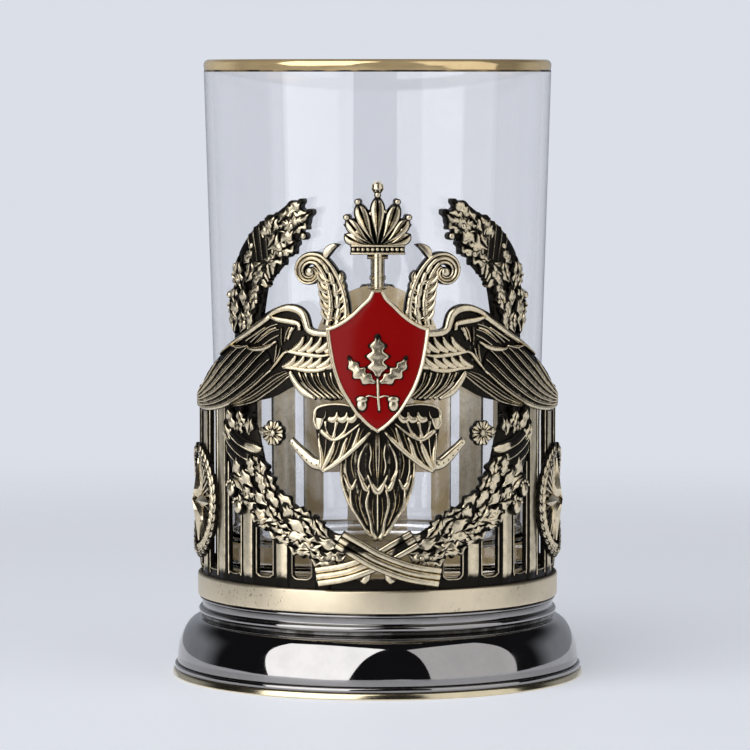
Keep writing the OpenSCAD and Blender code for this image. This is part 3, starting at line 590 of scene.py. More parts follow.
class PODSTAKANNIK_OT_foot(bpy.types.Operator):
    """Turns the base plate, the dark foot, the satin band and the floor"""
    bl_idname = "podstakannik.foot"
    bl_label = "Foot and band"

    def execute(self, context):
        sizes = context.scene.holder_sizes
        made = finishes(sizes)
        plate_r, plate_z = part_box("base_plate")[1][0] / MM, 1.3
        boss_r, boss_z, bore_r = 5.5, 13.7, 2.6
        bulge_r, bulge_z, bead_r, shoulder_z, deck_z = 39.7, 2.7, 35.0, 11.35, 15.7
        turned("base_plate", [
            (0, 0), (plate_r - 0.2, 0, 0.15), (plate_r, 0.2, 0.15), (plate_r - 0.35, plate_z, 0.4),
            (boss_r, plate_z), (boss_r, boss_z), (2.5, boss_z), (2.5, 2.6), (0, 2.6)],
            5, sizes, "pale_brass", made["brass"])
        # The shell: a small lower ogee, the notch, the bulge, a hollow and three beads
        # Relief below 1 paints shade under the ogee and in the notch, low on the bulge, in the
        # hollow and on the beads' flanks
        outer = [(39.9, plate_z + 0.02, 0.1, 0), (40.25, plate_z + 0.12, 0.12, 0.5),
                 (40.2, plate_z + 0.85, 0.15), (39.9, plate_z + 0.95, 0.1, 0.5),
                 (39.45, plate_z + 1.0, 0.1, 0)]
        a = np.radians(np.arange(-6, 91, 3.0))
        rise = np.where(a < 0, 2.3, shoulder_z - bulge_z)
        outer += [(bead_r + (bulge_r - bead_r) * math.cos(k), bulge_z + h * math.sin(k), 0,
                   0.62 if k < 0.12 else 1) for k, h in zip(a, rise)]
        outer += [(bead_r - 0.45, shoulder_z + 0.25, 0.2, 0.2), (bead_r - 0.4, 12.15, 0.1, 0.2)]
        for mid, half, middle in ((12.85, 0.65, 34.8), (15.3, 0.28, 34.95)):
            outer += [(middle + half * math.cos(b), mid + half * math.sin(b), 0,
                       0.2 if abs(b) > 1 else 0.8)
                      for b in np.radians([-75, -50, -25, 0, 25, 50, 75])]
            if mid < 14:
                outer += [(34.6, 13.7, 0.15, 0.75), (34.85, 14.85, 0.1, 0.4)]
        inner = [(33, deck_z, 0.2), (bore_r, deck_z, 0.3), (bore_r, boss_z, 0.2),
                 (33.1, boss_z, 0.5)]
        inner += [(33.1 + 4.6 * math.cos(k), bulge_z + 9.4 * math.sin(k))
                  for k in np.radians(np.arange(75, -1, -15.0))]
        inner += [(37.7, plate_z + 0.02, 0.1)]
        turned("foot_shell", outer + inner, 4, sizes, "dark_chrome", made["chrome"])
        # Relief 0 at its lower outer corner and 0.4 at its top edge paint shade along both edges
        turned("wall_band", [
            (33.3, deck_z + 0.02, 0.2), (35.45, deck_z + 0.02, 0.25, 0),
            (35.6, deck_z + 0.35, 0.2), (35.6, 20.0, 0.3), (35.35, 20.28, 0.15, 0.4),
            (33.3, 20.28, 0.2, 0)],
            5, sizes, "satin_band", made["band"])
        floor_z, groove_z = 19.7, 19.45
        turned("floor_plate", [
            (bore_r, deck_z), (boss_r, deck_z), (boss_r, 17.7, 0.3), (31.6, 17.7, 0.4),
            (31.6, deck_z), (33.2, deck_z), (33.2, floor_z, 0.4), (28.2, floor_z, 0.3),
            (27.8, groove_z, 0.2, 0.2), (27.4, floor_z, 0.3), (14.4, floor_z, 0.3),
            (14.0, groove_z, 0.2, 0.2), (13.6, floor_z, 0.3), (5.1, floor_z, 0.2), (bore_r, 17.2)],
            3, sizes, "antique_metal", made["floor"])
        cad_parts["clamp_screw"].data.materials[0] = made["steel"]
        return {"FINISHED"}


# Ornament. Each builder fills the right-hand side; the left is its mirror image.

def dome(shells, at, radius, rise, base, tall=1.0, tone=None, back=RELIEF_R):
    """A round or oval boss."""
    y = np.sin(np.pi / 2 * np.linspace(-1, 1, 9)) * 0.995
    room = 1 - y ** 2
    line = np.stack([np.full(len(y), at[0]), at[1] + y * radius * tall], 1)
    shells.strip(line, radius * np.sqrt(room) + 0.01, lambda t, u: rise * np.sqrt(np.clip(
        room[:, None] - room[:, None] * u ** 2, 0, 1)), base, back, tone=tone)


def leaf(shells, start, end, width, rise, base, bend=0.0, lobes=0, vein=0.0, count=13, across=8,
         blunt=0.8, tilt=0.0, wave=0.0, cup=0.0, dark=0.35, back=RELIEF_R):
    """A leaf with a flat top; vein sinks its midrib and lobes gives it an oak leaf's edge.

    tilt lifts its tip, cup lifts its edges and wave crumples it.
    """
    def half(t):
        env = np.sin(np.pi * np.clip(t, 0, 1) ** blunt) ** 0.7
        if lobes:
            env = env * (0.8 + 0.26 * np.cos(2 * np.pi * lobes * t + 0.5))
        return np.maximum(width / 2 * env, 0.05)

    def height(t, u):
        ends = np.sin(np.pi * np.clip(t, 0.02, 0.98) ** 0.75) ** 0.3
        veins = 0.1 * np.cos(2 * np.pi * (lobes * t - 0.6 * np.abs(u))) if lobes else 0.0
        groove = vein * np.exp(-(u / 0.13) ** 2) * smooth(1 - t, 0.02, 0.2)
        body = 0.1 + (0.9 - cup + cup * u ** 2) * flat_top(u, 6)
        fold = wave * np.sin(2 * np.pi * (1.4 * t + 0.5 * u + 7 * wave)) * flat_top(u, 4)
        return rise * (ends * body + veins * flat_top(u, 2) - groove + fold)
    shells.strip(bent(start, end, bend, count), half, height,
                 base + tilt * np.linspace(-0.5, 0.5, count), back, across, dark=dark)


def rod(shells, points, half, rise, base, count=24, across=8, taper=0.15, dark=0.35, ends=0.4,
        power=2.6, back=RELIEF_R):
    """A rounded bar along a line; it thins out over the share taper at both its ends."""
    if np.ndim(half) == 1 and len(half) != count:
        half = np.interp(np.linspace(0, 1, count), np.linspace(0, 1, len(half)), half)
    shells.strip(curve(points, count), half,
                 lambda t, u: rise * flat_top(0.97 * u, power) * faded(t, taper, ends),
                 base, back, across, dark=dark)


def ridge(shells, points, half, base, rise=0.35, count=22, back=RELIEF_R):
    """A fine bright line on a dark ground; half is its half width, or a row of them."""
    row = half if np.ndim(half) else half * np.interp(
        np.linspace(0, 1, count), [0, 0.12, 0.88, 1], [0.35, 1, 1, 0.35])
    rod(shells, points, row, rise, base, count, 6, 0.06, -0.3, 0.5, 3.0, back)


def ridges(shells, base, lines, rise=0.35, count=22, back=RELIEF_R):
    """Several such lines at one height, from their points and half widths."""
    for points, half in lines:
        ridge(shells, points, half, base, rise, count, back)


def area(shells, low, high, count, across, rise, base, tone, back=RELIEF_R):
    """A plate between two lines. rise(v, w) is its height; v runs along it, w from low to high."""
    a, b = curve(low, count), curve(high, count)
    v, w = np.linspace(0, 1, count)[:, None], np.linspace(0, 1, across + 1)[None]
    flat = a[:, None] * (1 - w[..., None]) + b[:, None] * w[..., None]
    lift = value_of(rise, v, w) * np.ones((count, across + 1))
    shells.grid(np.dstack([flat, base + lift]), value_of(tone, v, w) * np.ones_like(lift), back)


def between(low, high, w, start=0.0, stop=1.0, count=24):
    """A line at the share w of the way from one line to another."""
    steps = np.arange(80)
    line = curve(low, len(steps)) * (1 - w) + curve(high, len(steps)) * w
    at = np.linspace(start, stop, count) * steps[-1]
    return np.stack([np.interp(at, steps, line[:, k]) for k in (0, 1)], 1)


def pair(name, shells, slot, material, **options):
    """The right-hand piece and its mirror image."""
    piece("right_" + name, shells, slot, material, **options)
    piece("left_" + name, shells.mirrored(), slot, material, **options)


def swing(run, side, angle):
    """The direction run, turned towards side."""
    return run * math.cos(angle) + side * math.sin(angle)


# Middle lines of the garlands and branches, and their half widths at even steps
GARLAND = [(5.6, 26.4), (8.6, 27.9), (12.7, 30.2), (16.9, 32.7), (20.7, 35.4), (24.0, 38.1),
           (26.6, 41.1), (27.8, 45.2), (28.9, 49.4), (29.6, 53.2)]
GARLAND_HALF = [3.0, 3.9, 4.2, 4.4, 4.5, 4.5, 4.6, 4.7, 4.6, 4.2]
BRANCH = [(29.6, 50.8), (29.6, 56.8), (29.3, 62.8), (28.9, 68.4), (28.0, 74.5), (26.3, 80.9),
          (23.1, 84.8), (18.8, 88.6), (16.1, 92.3), (14.6, 93.4)]
BRANCH_HALF = [3.4, 3.5, 3.7, 4.3, 5.0, 4.9, 4.8, 4.9, 4.3, 1.7]


class Stalk:
    """A middle line with half widths, read at a share t of its length."""

    def __init__(self, points, half):
        self.share = np.linspace(0, 1, 80)
        self.line = curve(points, len(self.share))
        self.run = np.gradient(self.line, axis=0)
        self.run /= np.linalg.norm(self.run, axis=1, keepdims=True)
        self.half = np.interp(self.share, np.linspace(0, 1, len(half)), half)
        self.length = np.linalg.norm(np.diff(self.line, axis=0), axis=1).sum()

    def at(self, t, u):
        """The point at t and u half widths to the right, the direction, and the right side."""
        point, run = (np.array([np.interp(t, self.share, table[:, i]) for i in (0, 1)])
                      for table in (self.line, self.run))
        side = np.array([run[1], -run[0]])
        return point + side * np.interp(t, self.share, self.half) * u, run, side


# How far apart the rows of leaves stand
LEAF_STEP = 2.25


def foliage(shells, stalk, start, stop, seed, front=RELIEF_R + 0.3, size=1.0, lobed=(),
            lobed_side=1.0, spread=0.68, tilt=0.85, dark=0.48, back=RELIEF_R):
    """Overlapping leaves and berries laid along a stalk, over a dark core."""
    random = np.random.default_rng(seed)
    core = (stalk.share >= start) & (stalk.share <= stop)
    shells.strip(stalk.line[core], stalk.half[core] * 0.84,
                 lambda t, u: 0.4 * round_top(u, 0.97) * faded(t, 0.04), front, back, tone=0.0)
    rows = max(2, int(round((stop - start) * stalk.length / (LEAF_STEP * size))))
    for k in range(rows):
        t = start + (stop - start) * (k + 0.5) / rows
        for u in ((-spread, 0.0, spread), (-0.36, 0.36))[k % 2]:
            j = random.uniform(-0.5, 0.5, 8)
            at, run, side = stalk.at(t + 0.015 * j[5], u + 0.2 * j[0])
            lean = u * 0.5 + j[1] * 0.9
            way = swing(run, side, lean)
            long, wide = size * (5.2 + 1.6 * j[2]), size * (3.1 + 0.9 * j[3])
            lift = front + 0.45 * (1 - 0.8 * u * u) + 0.3 * j[4]
            leaf(shells, at - way * long * 0.45, at + way * long * 0.55, wide, 0.8, lift,
                 j[0] * 0.45, 2 + int(j[7] > 0), 0.75 if j[3] > -0.2 else 0.0, 23, 12, 1.0,
                 tilt=tilt, wave=0.05 + 0.06 * j[6], cup=0.25 if j[6] > 0 else 0.0, dark=dark,
                 back=back)
        if k % 2 == 0:
            at = stalk.at(t, random.uniform(-0.8, 0.8))[0]
            dome(shells, at, size * random.uniform(0.4, 0.62), 0.6, front + 0.9, back=back)
    for t, big in lobed:
        at, run, side = stalk.at(t, 0.55 * lobed_side)
        way = swing(run, side * lobed_side, 0.3)
        leaf(shells, at - way * 1.6 * big, at + way * 2.9 * big, 3.3 * big, 0.8, front + 0.6,
             -0.08 * lobed_side, 3, 0.6, 31, 12, 0.95, tilt=0.3, wave=0.12, cup=0.35, back=back)


def wraps(shells, stalk, places, slant, width, front, bow=0.25, back=RELIEF_R):
    """Dark ribbon wound slantwise round a stalk, with a bright edge and a painted highlight on its
    inner ends.
    """
    middle, reach = (min(places) + max(places)) / 2, (max(places) - min(places)) / 2 + 0.03
    core = np.abs(stalk.share - middle) <= reach
    shells.strip(stalk.line[core], stalk.half[core] * 0.98,
                 lambda t, u: 0.6 * round_top(u, 0.97) * faded(t, 0.1, 0.5), front - 0.1, back, 10,
                 tone=0.05)

    def half(t):
        return width / 2 * faded(t, 0.07, 0.7, 0.35)

    def height(t, u):
        edge = np.exp(-((np.abs(u) - 0.84) / 0.12) ** 2)
        belly = np.sqrt(np.clip(1 - (1.86 * (t - 0.5)) ** 2, 0.02, 1))
        return 0.25 + 0.2 * flat_top(u, 2) + 0.22 * edge + 0.7 * belly - 0.35

    # The pale patch on the inner half of each turn is a painted highlight
    def tone(t, u):
        edge = np.exp(-((u - 0.88) / 0.14) ** 2)
        wear_and_painted_light = smooth(0.5 - t, 0.06, 0.3) * (1 - smooth(np.abs(u - 0.15), 0.45, 0.75))
        return 0.12 + 0.82 * edge + 0.72 * wear_and_painted_light
    for t in places:
        u = np.linspace(-0.97, 0.97, 9)
        at = np.clip(t + slant * u + bow * abs(slant) * (1 - u ** 2), 0, 1)
        points = [stalk.at(a, v)[0] for a, v in zip(at, u)]
        shells.strip(curve(points, 25), half, height, front, back, 14, tone=tone)


class PODSTAKANNIK_OT_garlands(bpy.types.Operator):
    """Lays the two leaf garlands from the crossing up to the wings"""
    bl_idname = "podstakannik.garlands"
    bl_label = "Garlands"

    def execute(self, context):
        made = finishes(context.scene.holder_sizes)
        stalk = Stalk(GARLAND, GARLAND_HALF)
        shells = Shells()
        foliage(shells, stalk, 0.03, 0.76, 5,
                lobed=((0.1, 1.0), (0.22, 1.1), (0.35, 1.05), (0.48, 1.1), (0.6, 0.9)))
        foliage(shells, stalk, 0.9, 1.0, 6, size=0.9)
        wraps(shells, stalk, (0.775, 0.835, 0.895), 0.1, 2.15, 35.75, -0.3)
        # Acorns in their cups on the outer edge
        for s, z in ((29.3, 35.2), (31.4, 38.4)):
            dome(shells, (s, z), 1.35, 0.9, 35.9, 1.15)
            for k in range(5):
                at = np.array([s, z + 0.5]) + unit(math.radians(20 + 35 * k)) * [1.2, 1.25]
                dome(shells, at, 0.42, 0.45, 36.3)
        pair("garland", shells, "antique_metal", made["casting"])
        return {"FINISHED"}


class PODSTAKANNIK_OT_branches(bpy.types.Operator):
    """Raises the two leafy branches behind the wings"""
    bl_idname = "podstakannik.branches"
    bl_label = "Branches"

    def execute(self, context):
        made = finishes(context.scene.holder_sizes)
        root = 34.0
        stalk = Stalk(BRANCH, BRANCH_HALF)
        shells = Shells()
        shells.strip(curve(BRANCH, 40)[:18], 3.4, lambda t, u: 0.7 * round_top(u, 0.9), 34.3, root,
                     tone=0.0)
        foliage(shells, stalk, 0.4, 0.7, 11, 35.2, lobed=((0.46, 0.8), (0.58, 0.8)),
                spread=0.5, tilt=0.5, dark=0.6, back=root)
        foliage(shells, stalk, 0.78, 0.985, 12, 35.2, 1.15,
                ((0.76, 1.1), (0.83, 1.1), (0.92, 1.0)), -1.0, spread=0.5, tilt=0.5, dark=0.56,
                back=root)
        wraps(shells, stalk, (0.67, 0.705, 0.74, 0.775), 0.07, 1.8, 35.3, back=root)
        for s, z in ((14.2, 87.7), (17.6, 84.4), (25.9, 85.6), (30.2, 81.2), (32.3, 76.0)):
            dome(shells, (s, z), 0.75, 0.8, 35.6, back=root)
        pair("branch", shells, "antique_metal", made["casting"])
        return {"FINISHED"}


class PODSTAKANNIK_OT_wings(bpy.types.Operator):
    """Casts the two feathered wings"""
    bl_idname = "podstakannik.wings"
    bl_label = "Wings"

    def execute(self, context):
        made = finishes(context.scene.holder_sizes)
        top = shares([[0.1, 0.76], [0.175, 0.765], [0.245, 0.78], [0.27, 0.86], [0.305, 0.95],
                      [0.375, 0.97], [0.455, 0.9], [0.56, 0.735], [0.69, 0.555], [0.83, 0.37],
                      [0.93, 0.22], [0.985, 0.11]], (0, 52.4), (50.4, 22.6))
        low = shares([[0.1, 0.22], [0.175, 0.18], [0.23, 0.24], [0.285, 0.33], [0.33, 0.29],
                      [0.405, 0.205], [0.485, 0.16], [0.61, 0.115], [0.73, 0.07], [0.83, 0.03],
                      [0.92, 0.01], [0.985, 0.07]], (0, 52.4), (50.4, 22.6))
        shells = Shells()
        area(shells, low, top, 150, 12,
             lambda v, w: 0.17 * np.sin(np.pi * w) ** 0.3 + 0.06 * np.abs(np.cos(70 * v + 8 * w)),
             35.4, lambda v, w: 0.05 + 0.33 * np.abs(np.cos(70 * v + 8 * w)) ** 5)
        # Lower flight feathers, dark under the main ones
        a = [(16.9, 61.2), (19.8, 59.0), (22.7, 57.2), (25.8, 55.6), (31.8, 54.4)]
        b = [(18.0, 62.2), (20.9, 61.4), (24.2, 59.2), (29.3, 56.2), (32.4, 54.9)]
        area(shells, a, b, 40, 8, lambda v, w: 0.15 * np.abs(np.sin(3 * np.pi * w)), 35.6, 0.1)
        for w, half in ((0.03, 0.2), (0.3, 0.1), (0.52, 0.16), (0.8, 0.1)):
            ridge(shells, between(a, b, w), half, 35.65)
        # Main flight feathers: hollow vanes between fine ridges that meet in a tip, with a painted
        # sheen on the tips
        roots = [(21.0, 62.2), (21.4, 64.3), (22.4, 66.0), (24.7, 66.1), (27.0, 66.3),
                 (29.3, 66.2), (31.8, 66.3)]
        edges = [[root, (26.4 + 9.2 * f, 58.2 + 5.6 * f), (33.2 + 7.6 * f, 54.9 + 4.9 * f),
                  (40.2 + 4.6 * f, 53.6 + 4.0 * f), (46.2 + 1.6 * f, 53.6 + 2.6 * f),
                  (49.3, 54.4 + 0.9 * f)] for root, f in zip(roots, np.arange(7) / 6)]

        def hollow(v, w):
            """Height of a vane."""
            return 0.28 * np.sin(np.pi * w) ** 0.8 * smooth(1 - v, 0, 0.3)

        def painted_sheen(v, w):
            """Relief of the vane in turn: a painted sheen, bright at the tip and along its middle,
            more on outer feathers.
            """
            vane = (0.36 + 0.03 * k) * np.sin(np.pi * w) ** 3 * smooth(v, 0.05, 0.4)
            return 0.08 + 0.8 * smooth(v, 0.72, 0.97) + vane
        for k, (low, high) in enumerate(zip(edges, edges[1:])):
            half = [0.1, 0.15, 0.17, 0.2, 0.24] if k else [0.2, 0.26, 0.35, 0.42, 0.36, 0.3]
            area(shells, low, high, 60, 6, hollow, 35.65, painted_sheen)
            ridge(shells, between(low, high, 0.3, 0.06, 0.85, 30), 0.07, 35.85, 0.2, 30)
            ridge(shells, low, half, 35.85, 0.38, 40)
        ridge(shells, between(edges[6], edges[6], 0, 0.25, 1, 34), 0.16, 35.8, 0.35, 34)
        # Bright scalloped edge over their roots, and the leading edge above
        ridges(shells, 36.05, (
            ([(19.8, 67.6), (21.5, 66.6), (23.6, 66.0), (26.1, 65.9), (27.0, 66.4)],
             [0.15, 0.4, 0.48, 0.42, 0.12]),
            ([(26.7, 66.5), (29.3, 66.1), (31.7, 66.4)], [0.12, 0.38, 0.12])), 0.4)
        ridges(shells, 35.8, (
            ([(19.5, 70.9), (21.5, 70.3), (23.6, 69.0), (26.4, 66.9)], 0.16),
            ([(19.3, 69.9), (21.3, 69.2), (24.6, 67.0)], 0.14),
            ([(19.3, 68.8), (21.0, 68.0), (23.2, 66.6)], 0.2),
            ([(20.4, 70.0), (22.6, 68.9), (25.4, 66.6)], 0.08),
            ([(26.0, 68.8), (28.2, 67.8), (30.4, 66.6)], 0.1),
            ([(18.7, 70.4), (18.8, 68.6), (18.7, 66.8)], 0.14),
            ([(15.9, 70.4), (16.9, 69.2), (17.7, 68.0)], 0.18),
            ([(17.0, 70.5), (17.7, 69.2), (18.1, 67.4)], 0.12),
            ([(19.8, 67.2), (20.0, 65.4), (20.4, 63.4)], 0.16),
            ([(19.0, 66.4), (19.3, 65.2), (20.0, 63.9)], 0.12)))
        ridge(shells, [(21.0, 72.5), (24.2, 70.6), (27.8, 68.5), (31.6, 66.6), (35.6, 64.3)],
              [0.5, 0.62, 0.5, 0.3, 0.12], 36.0, 0.45, 30)
        # Broad pale folds between the coverts and the shoulder
        ridges(shells, 35.75, (([(16.4, 70.4), (17.0, 69.3), (17.4, 67.8)], [0.3, 0.42, 0.2]),
                               ([(19.9, 70.2), (21.6, 69.6), (23.6, 68.2)], [0.2, 0.36, 0.15]),
                               ([(22.4, 70.2), (25.2, 68.6), (27.6, 67.2)], [0.15, 0.3, 0.15])),
               0.4)
        # Inner fan: dark ribs with bright edges, the outer one broad
        for k in range(7):
            top_s, low_s = 15.3 - 1.28 * k, 10.7 - 1.0 * k
            mid = ((top_s + low_s) / 2 + 0.8, 59.4)
            ridge(shells, [(top_s, 62.0), mid, (low_s, 56.8)], [0.3, 0.14, 0.14, 0.2, 0.3], 35.75)
            if k % 2:
                ridge(shells, [(top_s + 0.6, 61.8), (mid[0] + 0.5, 59.4), (low_s + 0.35, 57.0)],
                      0.07, 35.75, 0.25)
        ridge(shells, [(17.2, 62.0), (16.1, 60.2), (14.4, 58.2), (11.7, 56.8)],
              [0.45, 0.62, 0.7, 0.3], 35.9, 0.4, 26)
        # Two rows of coverts over bright lower edges
        for row, (s0, z0, z1, count) in enumerate(((8.6, 65.2, 62.7, 6), (8.7, 68.8, 65.7, 5))):
            base = 35.95 + 0.12 * row
            for k in range(-1, count - 1):
                start, end = (s0 + 1.75 * k, z0), (s0 + 3.1 + 1.75 * k, z1)
                ridge(shells, bent(start, end, -0.13, 10), [0.16, 0.46, 0.62, 0.6, 0.3], base,
                      0.42, 16)
        ridge(shells, [(8.2, 63.6), (10.4, 62.5), (13.1, 62.2), (15.8, 62.5), (18.6, 62.6)],
              [0.2, 0.42, 0.46, 0.36, 0.2], 36.05, 0.4, 26)
        ridge(shells, [(8.4, 65.4), (10.8, 65.0), (13.4, 65.2), (15.8, 65.5), (17.9, 65.8)],
              [0.2, 0.38, 0.46, 0.4, 0.25], 36.15, 0.4, 26)
        ridge(shells, [(16.7, 65.8), (18.2, 65.3), (19.7, 63.6), (21.2, 61.9)],
              [0.2, 0.34, 0.3, 0.15], 36.1, 0.4)
        # The shoulder: a polished bar that rises from the shield, and a second one inside it
        bar = [(7.4, 69.2), (9.6, 69.2), (11.9, 69.4), (13.1, 70.1), (13.6, 71.5), (14.2, 72.9),
               (15.6, 73.8), (17.6, 74.0), (19.8, 73.4), (21.7, 72.3)]
        rod(shells, bar, [0.6, 0.66, 0.7, 0.78, 0.88, 0.88, 0.8, 0.7, 0.6, 0.35], 0.75, 36.0, 50,
            10, taper=0.03, dark=-0.1, power=3.2)
        ridge(shells, [(14.9, 69.7), (15.1, 71.0), (16.8, 71.4), (19.2, 71.7), (21.4, 72.2)],
              [0.3, 0.5, 0.55, 0.5, 0.3], 36.1, 0.45, 26)
        pair("wing", shells, "antique_metal", made["casting"])
        return {"FINISHED"}


SHIELD = [(0, 0), (0.2, 0.05), (0.41, 0.13), (0.59, 0.225), (0.75, 0.33), (0.88, 0.47),
          (0.96, 0.62), (1, 0.74), (0.86, 0.755), (0.68, 0.79), (0.5, 0.84), (0.34, 0.9),
          (0.2, 0.95), (0.13, 1)]


class PODSTAKANNIK_OT_shield(bpy.types.Operator):
    """Makes the shield's border, its enamel and the oak sprig on it"""
    bl_idname = "podstakannik.shield"
    bl_label = "Shield"

    def execute(self, context):
        made = finishes(context.scene.holder_sizes)
        tip, height, wide = 50.6, 27.0, 9.1
        low = curve(shares(SHIELD[:8], (0, tip), (wide, height)), 48)
        top = curve(shares(SHIELD[7:], (0, tip), (wide, height)), 26)
        side = np.vstack([low, top[1:]])
        inward = -normals_of(side)
        inward[:8] = inward[8]
        corner = len(low) - 1
        inward[corner] = (inward[corner - 2] + inward[corner + 2]) * 0.8
        inner = side + inward * 0.72
        inner[0] = (0.05, tip + 1.05)
        inner[:, 0] = np.maximum(inner[:, 0], 0.05)
        inner = inner[np.concatenate([[True], np.diff(np.maximum.accumulate(inner[:, 1])) > 1e-4])]
        inner = inner[np.argsort(inner[:, 1])]
        # The enamel, with a row of points close to its corners on either side
        ground, behind = 38.75, 38.05
        z = np.linspace(inner[0, 1], inner[-1, 1], 64)
        z = np.unique(np.append(z, inner[np.argmax(inner[:, 0]), 1] + np.array([-0.05, 0.05])))
        half = np.interp(z, inner[:, 1], inner[:, 0])[:, None]
        u = np.sin(np.pi / 2 * np.linspace(-1, 1, 17))[None]
        swell = 0.16 * (1 - np.abs(u) ** 3) * np.minimum(half, 2) / 2
        enamel = Shells()
        z = np.broadcast_to(z[:, None], swell.shape)
        enamel.grid(np.dstack([half * u, z, ground + swell]), 1.0, behind)
        piece("shield_enamel", enamel, "red_enamel", made["enamel"])
        # The border: a polished bead on a flat rim that reaches behind the enamel's edge
        rim = np.stack([side + inward * k for k in (0, 0.2, 0.42, 0.62, 0.82)], 1)
        rim[..., 0] = np.maximum(rim[..., 0], 0.0)
        bead = np.broadcast_to([ground, 39.12, 39.2, 39.1, 38.8], rim.shape[:2])
        border = Shells()
        border.grid(np.dstack([rim, bead]), np.array([[0.35, 0.9, 1, 0.9, 0.3]]), behind)
        border.join(border.mirrored())
        piece("shield_frame", border, "antique_metal", made["polished"])
        # Oak sprig: three leaves and two acorns on a stalk
        sprig = Shells()
        base, back = 38.98, 38.85
        rod(sprig, [(0.3, 54.6), (0.1, 57.5), (0, 61.5)], 0.28, 0.3, base, 14, 6, back=back)
        for start, end, width, bend in (((0, 61.2), (0, 69.6), 4.4, 0.0),
                                        ((0.2, 60.2), (5.0, 65.4), 3.2, -0.12),
                                        ((-0.2, 60.2), (-5.0, 65.4), 3.2, 0.12)):
            leaf(sprig, start, end, width, 0.5, base, bend, 4, count=33, across=12, back=back)
        for sign in (-1, 1):
            rod(sprig, [(0.1, 57.4), (sign * 1.4, 57.8), (sign * 2.3, 57.3)], 0.18, 0.25, base, 10,
                6, back=back)
            dome(sprig, (sign * 2.7, 56.0), 1.0, 0.5, base, 1.35, back=back)
            dome(sprig, (sign * 2.65, 57.1), 1.2, 0.52, base + 0.03, 0.6, back=back)
        piece("oak_sprig", sprig, "antique_metal", made["casting"])
        return {"FINISHED"}


class PODSTAKANNIK_OT_finial(bpy.types.Operator):
    """Builds the palmette finial and its knob"""
    bl_idname = "podstakannik.finial"
    bl_label = "Finial"

    def execute(self, context):
        made = finishes(context.scene.holder_sizes)
        shells = Shells()
        # Baluster and collar
        rod(shells, [(0, 77.75), (0, 84.9)], 1.25, 1.7, 37.4, 30, 12, taper=0.01, dark=-0.25)
        for z, half, rise in ((78.2, 1.7, 1.8), (80.0, 1.45, 1.75), (83.9, 1.9, 1.8)):
            rod(shells, [(-half, z), (half, z)], 0.35, rise, 37.3, 14, 8, taper=0.12)
        area(shells, [(-4.7, 84.5), (0, 84.5), (4.7, 84.5)],
             [(-4.7, 86.2), (0, 86.2), (4.7, 86.2)], 30, 4, 0.05, 38.4, 0.05)
        for z in (84.65, 86.1):
            rod(shells, [(-4.75, z), (0, z), (4.75, z)], 0.24, 0.35, 38.75, 30, 6, taper=0.02,
                dark=-0.4)
        for k in range(-5, 6):
            dome(shells, (k * 0.84, 85.38), 0.36, 0.35, 38.45, 1.2)
        # Fan of seven petals over a dark plate
        area(shells, [(-3.6, 86.4), (0, 86.4), (3.6, 86.4)],
             [(-6.2, 90.0), (0, 93.2), (6.2, 90.0)], 24, 8, 0.1, 37.0, 0.05)
        for k in (0, 6, 1, 5, 2, 4, 3):
            reach = (6.2, 7.4, 8.6, 9.15, 8.6, 7.4, 6.2)[k]
            start = np.array([0.45 * (k - 3), 86.3])
            end = np.array([0, 86.4]) + reach * unit(math.radians(162 - 24 * k)) * [0.98, 1]
            leaf(shells, start, end, 2.75 - 0.1 * abs(k - 3), 0.85, 38.1 + 0.06 * (3 - abs(k - 3)),
                 (k - 3) * -0.03, vein=0.55, count=19, across=12, blunt=1.9)
            if k not in (0, 6):
                dome(shells, end + (end - start) * 0.01, 0.62, 0.7, 38.2)
            if k < 6:
                mid = np.array([0, 86.6]) + reach * 0.66 * unit(math.radians(150 - 24 * k))
                dome(shells, mid, 0.42, 0.5, 38.4)
        piece("finial", shells, "antique_metal", made["casting"])
        a = np.linspace(0, np.pi, 21)
        knob = lathe(np.stack([1.2 * np.sin(a) * (1 + 0.06 * np.cos(9 * a)), -1.2 * np.cos(a),
                               0.6 + 0.4 * np.abs(np.cos(9 * a / 2))], 1), 40)
        piece("finial_knob", knob, "antique_metal", made["polished"],
              place=lambda p: (p + [0, -37.25, 97]) * MM)
        return {"FINISHED"}


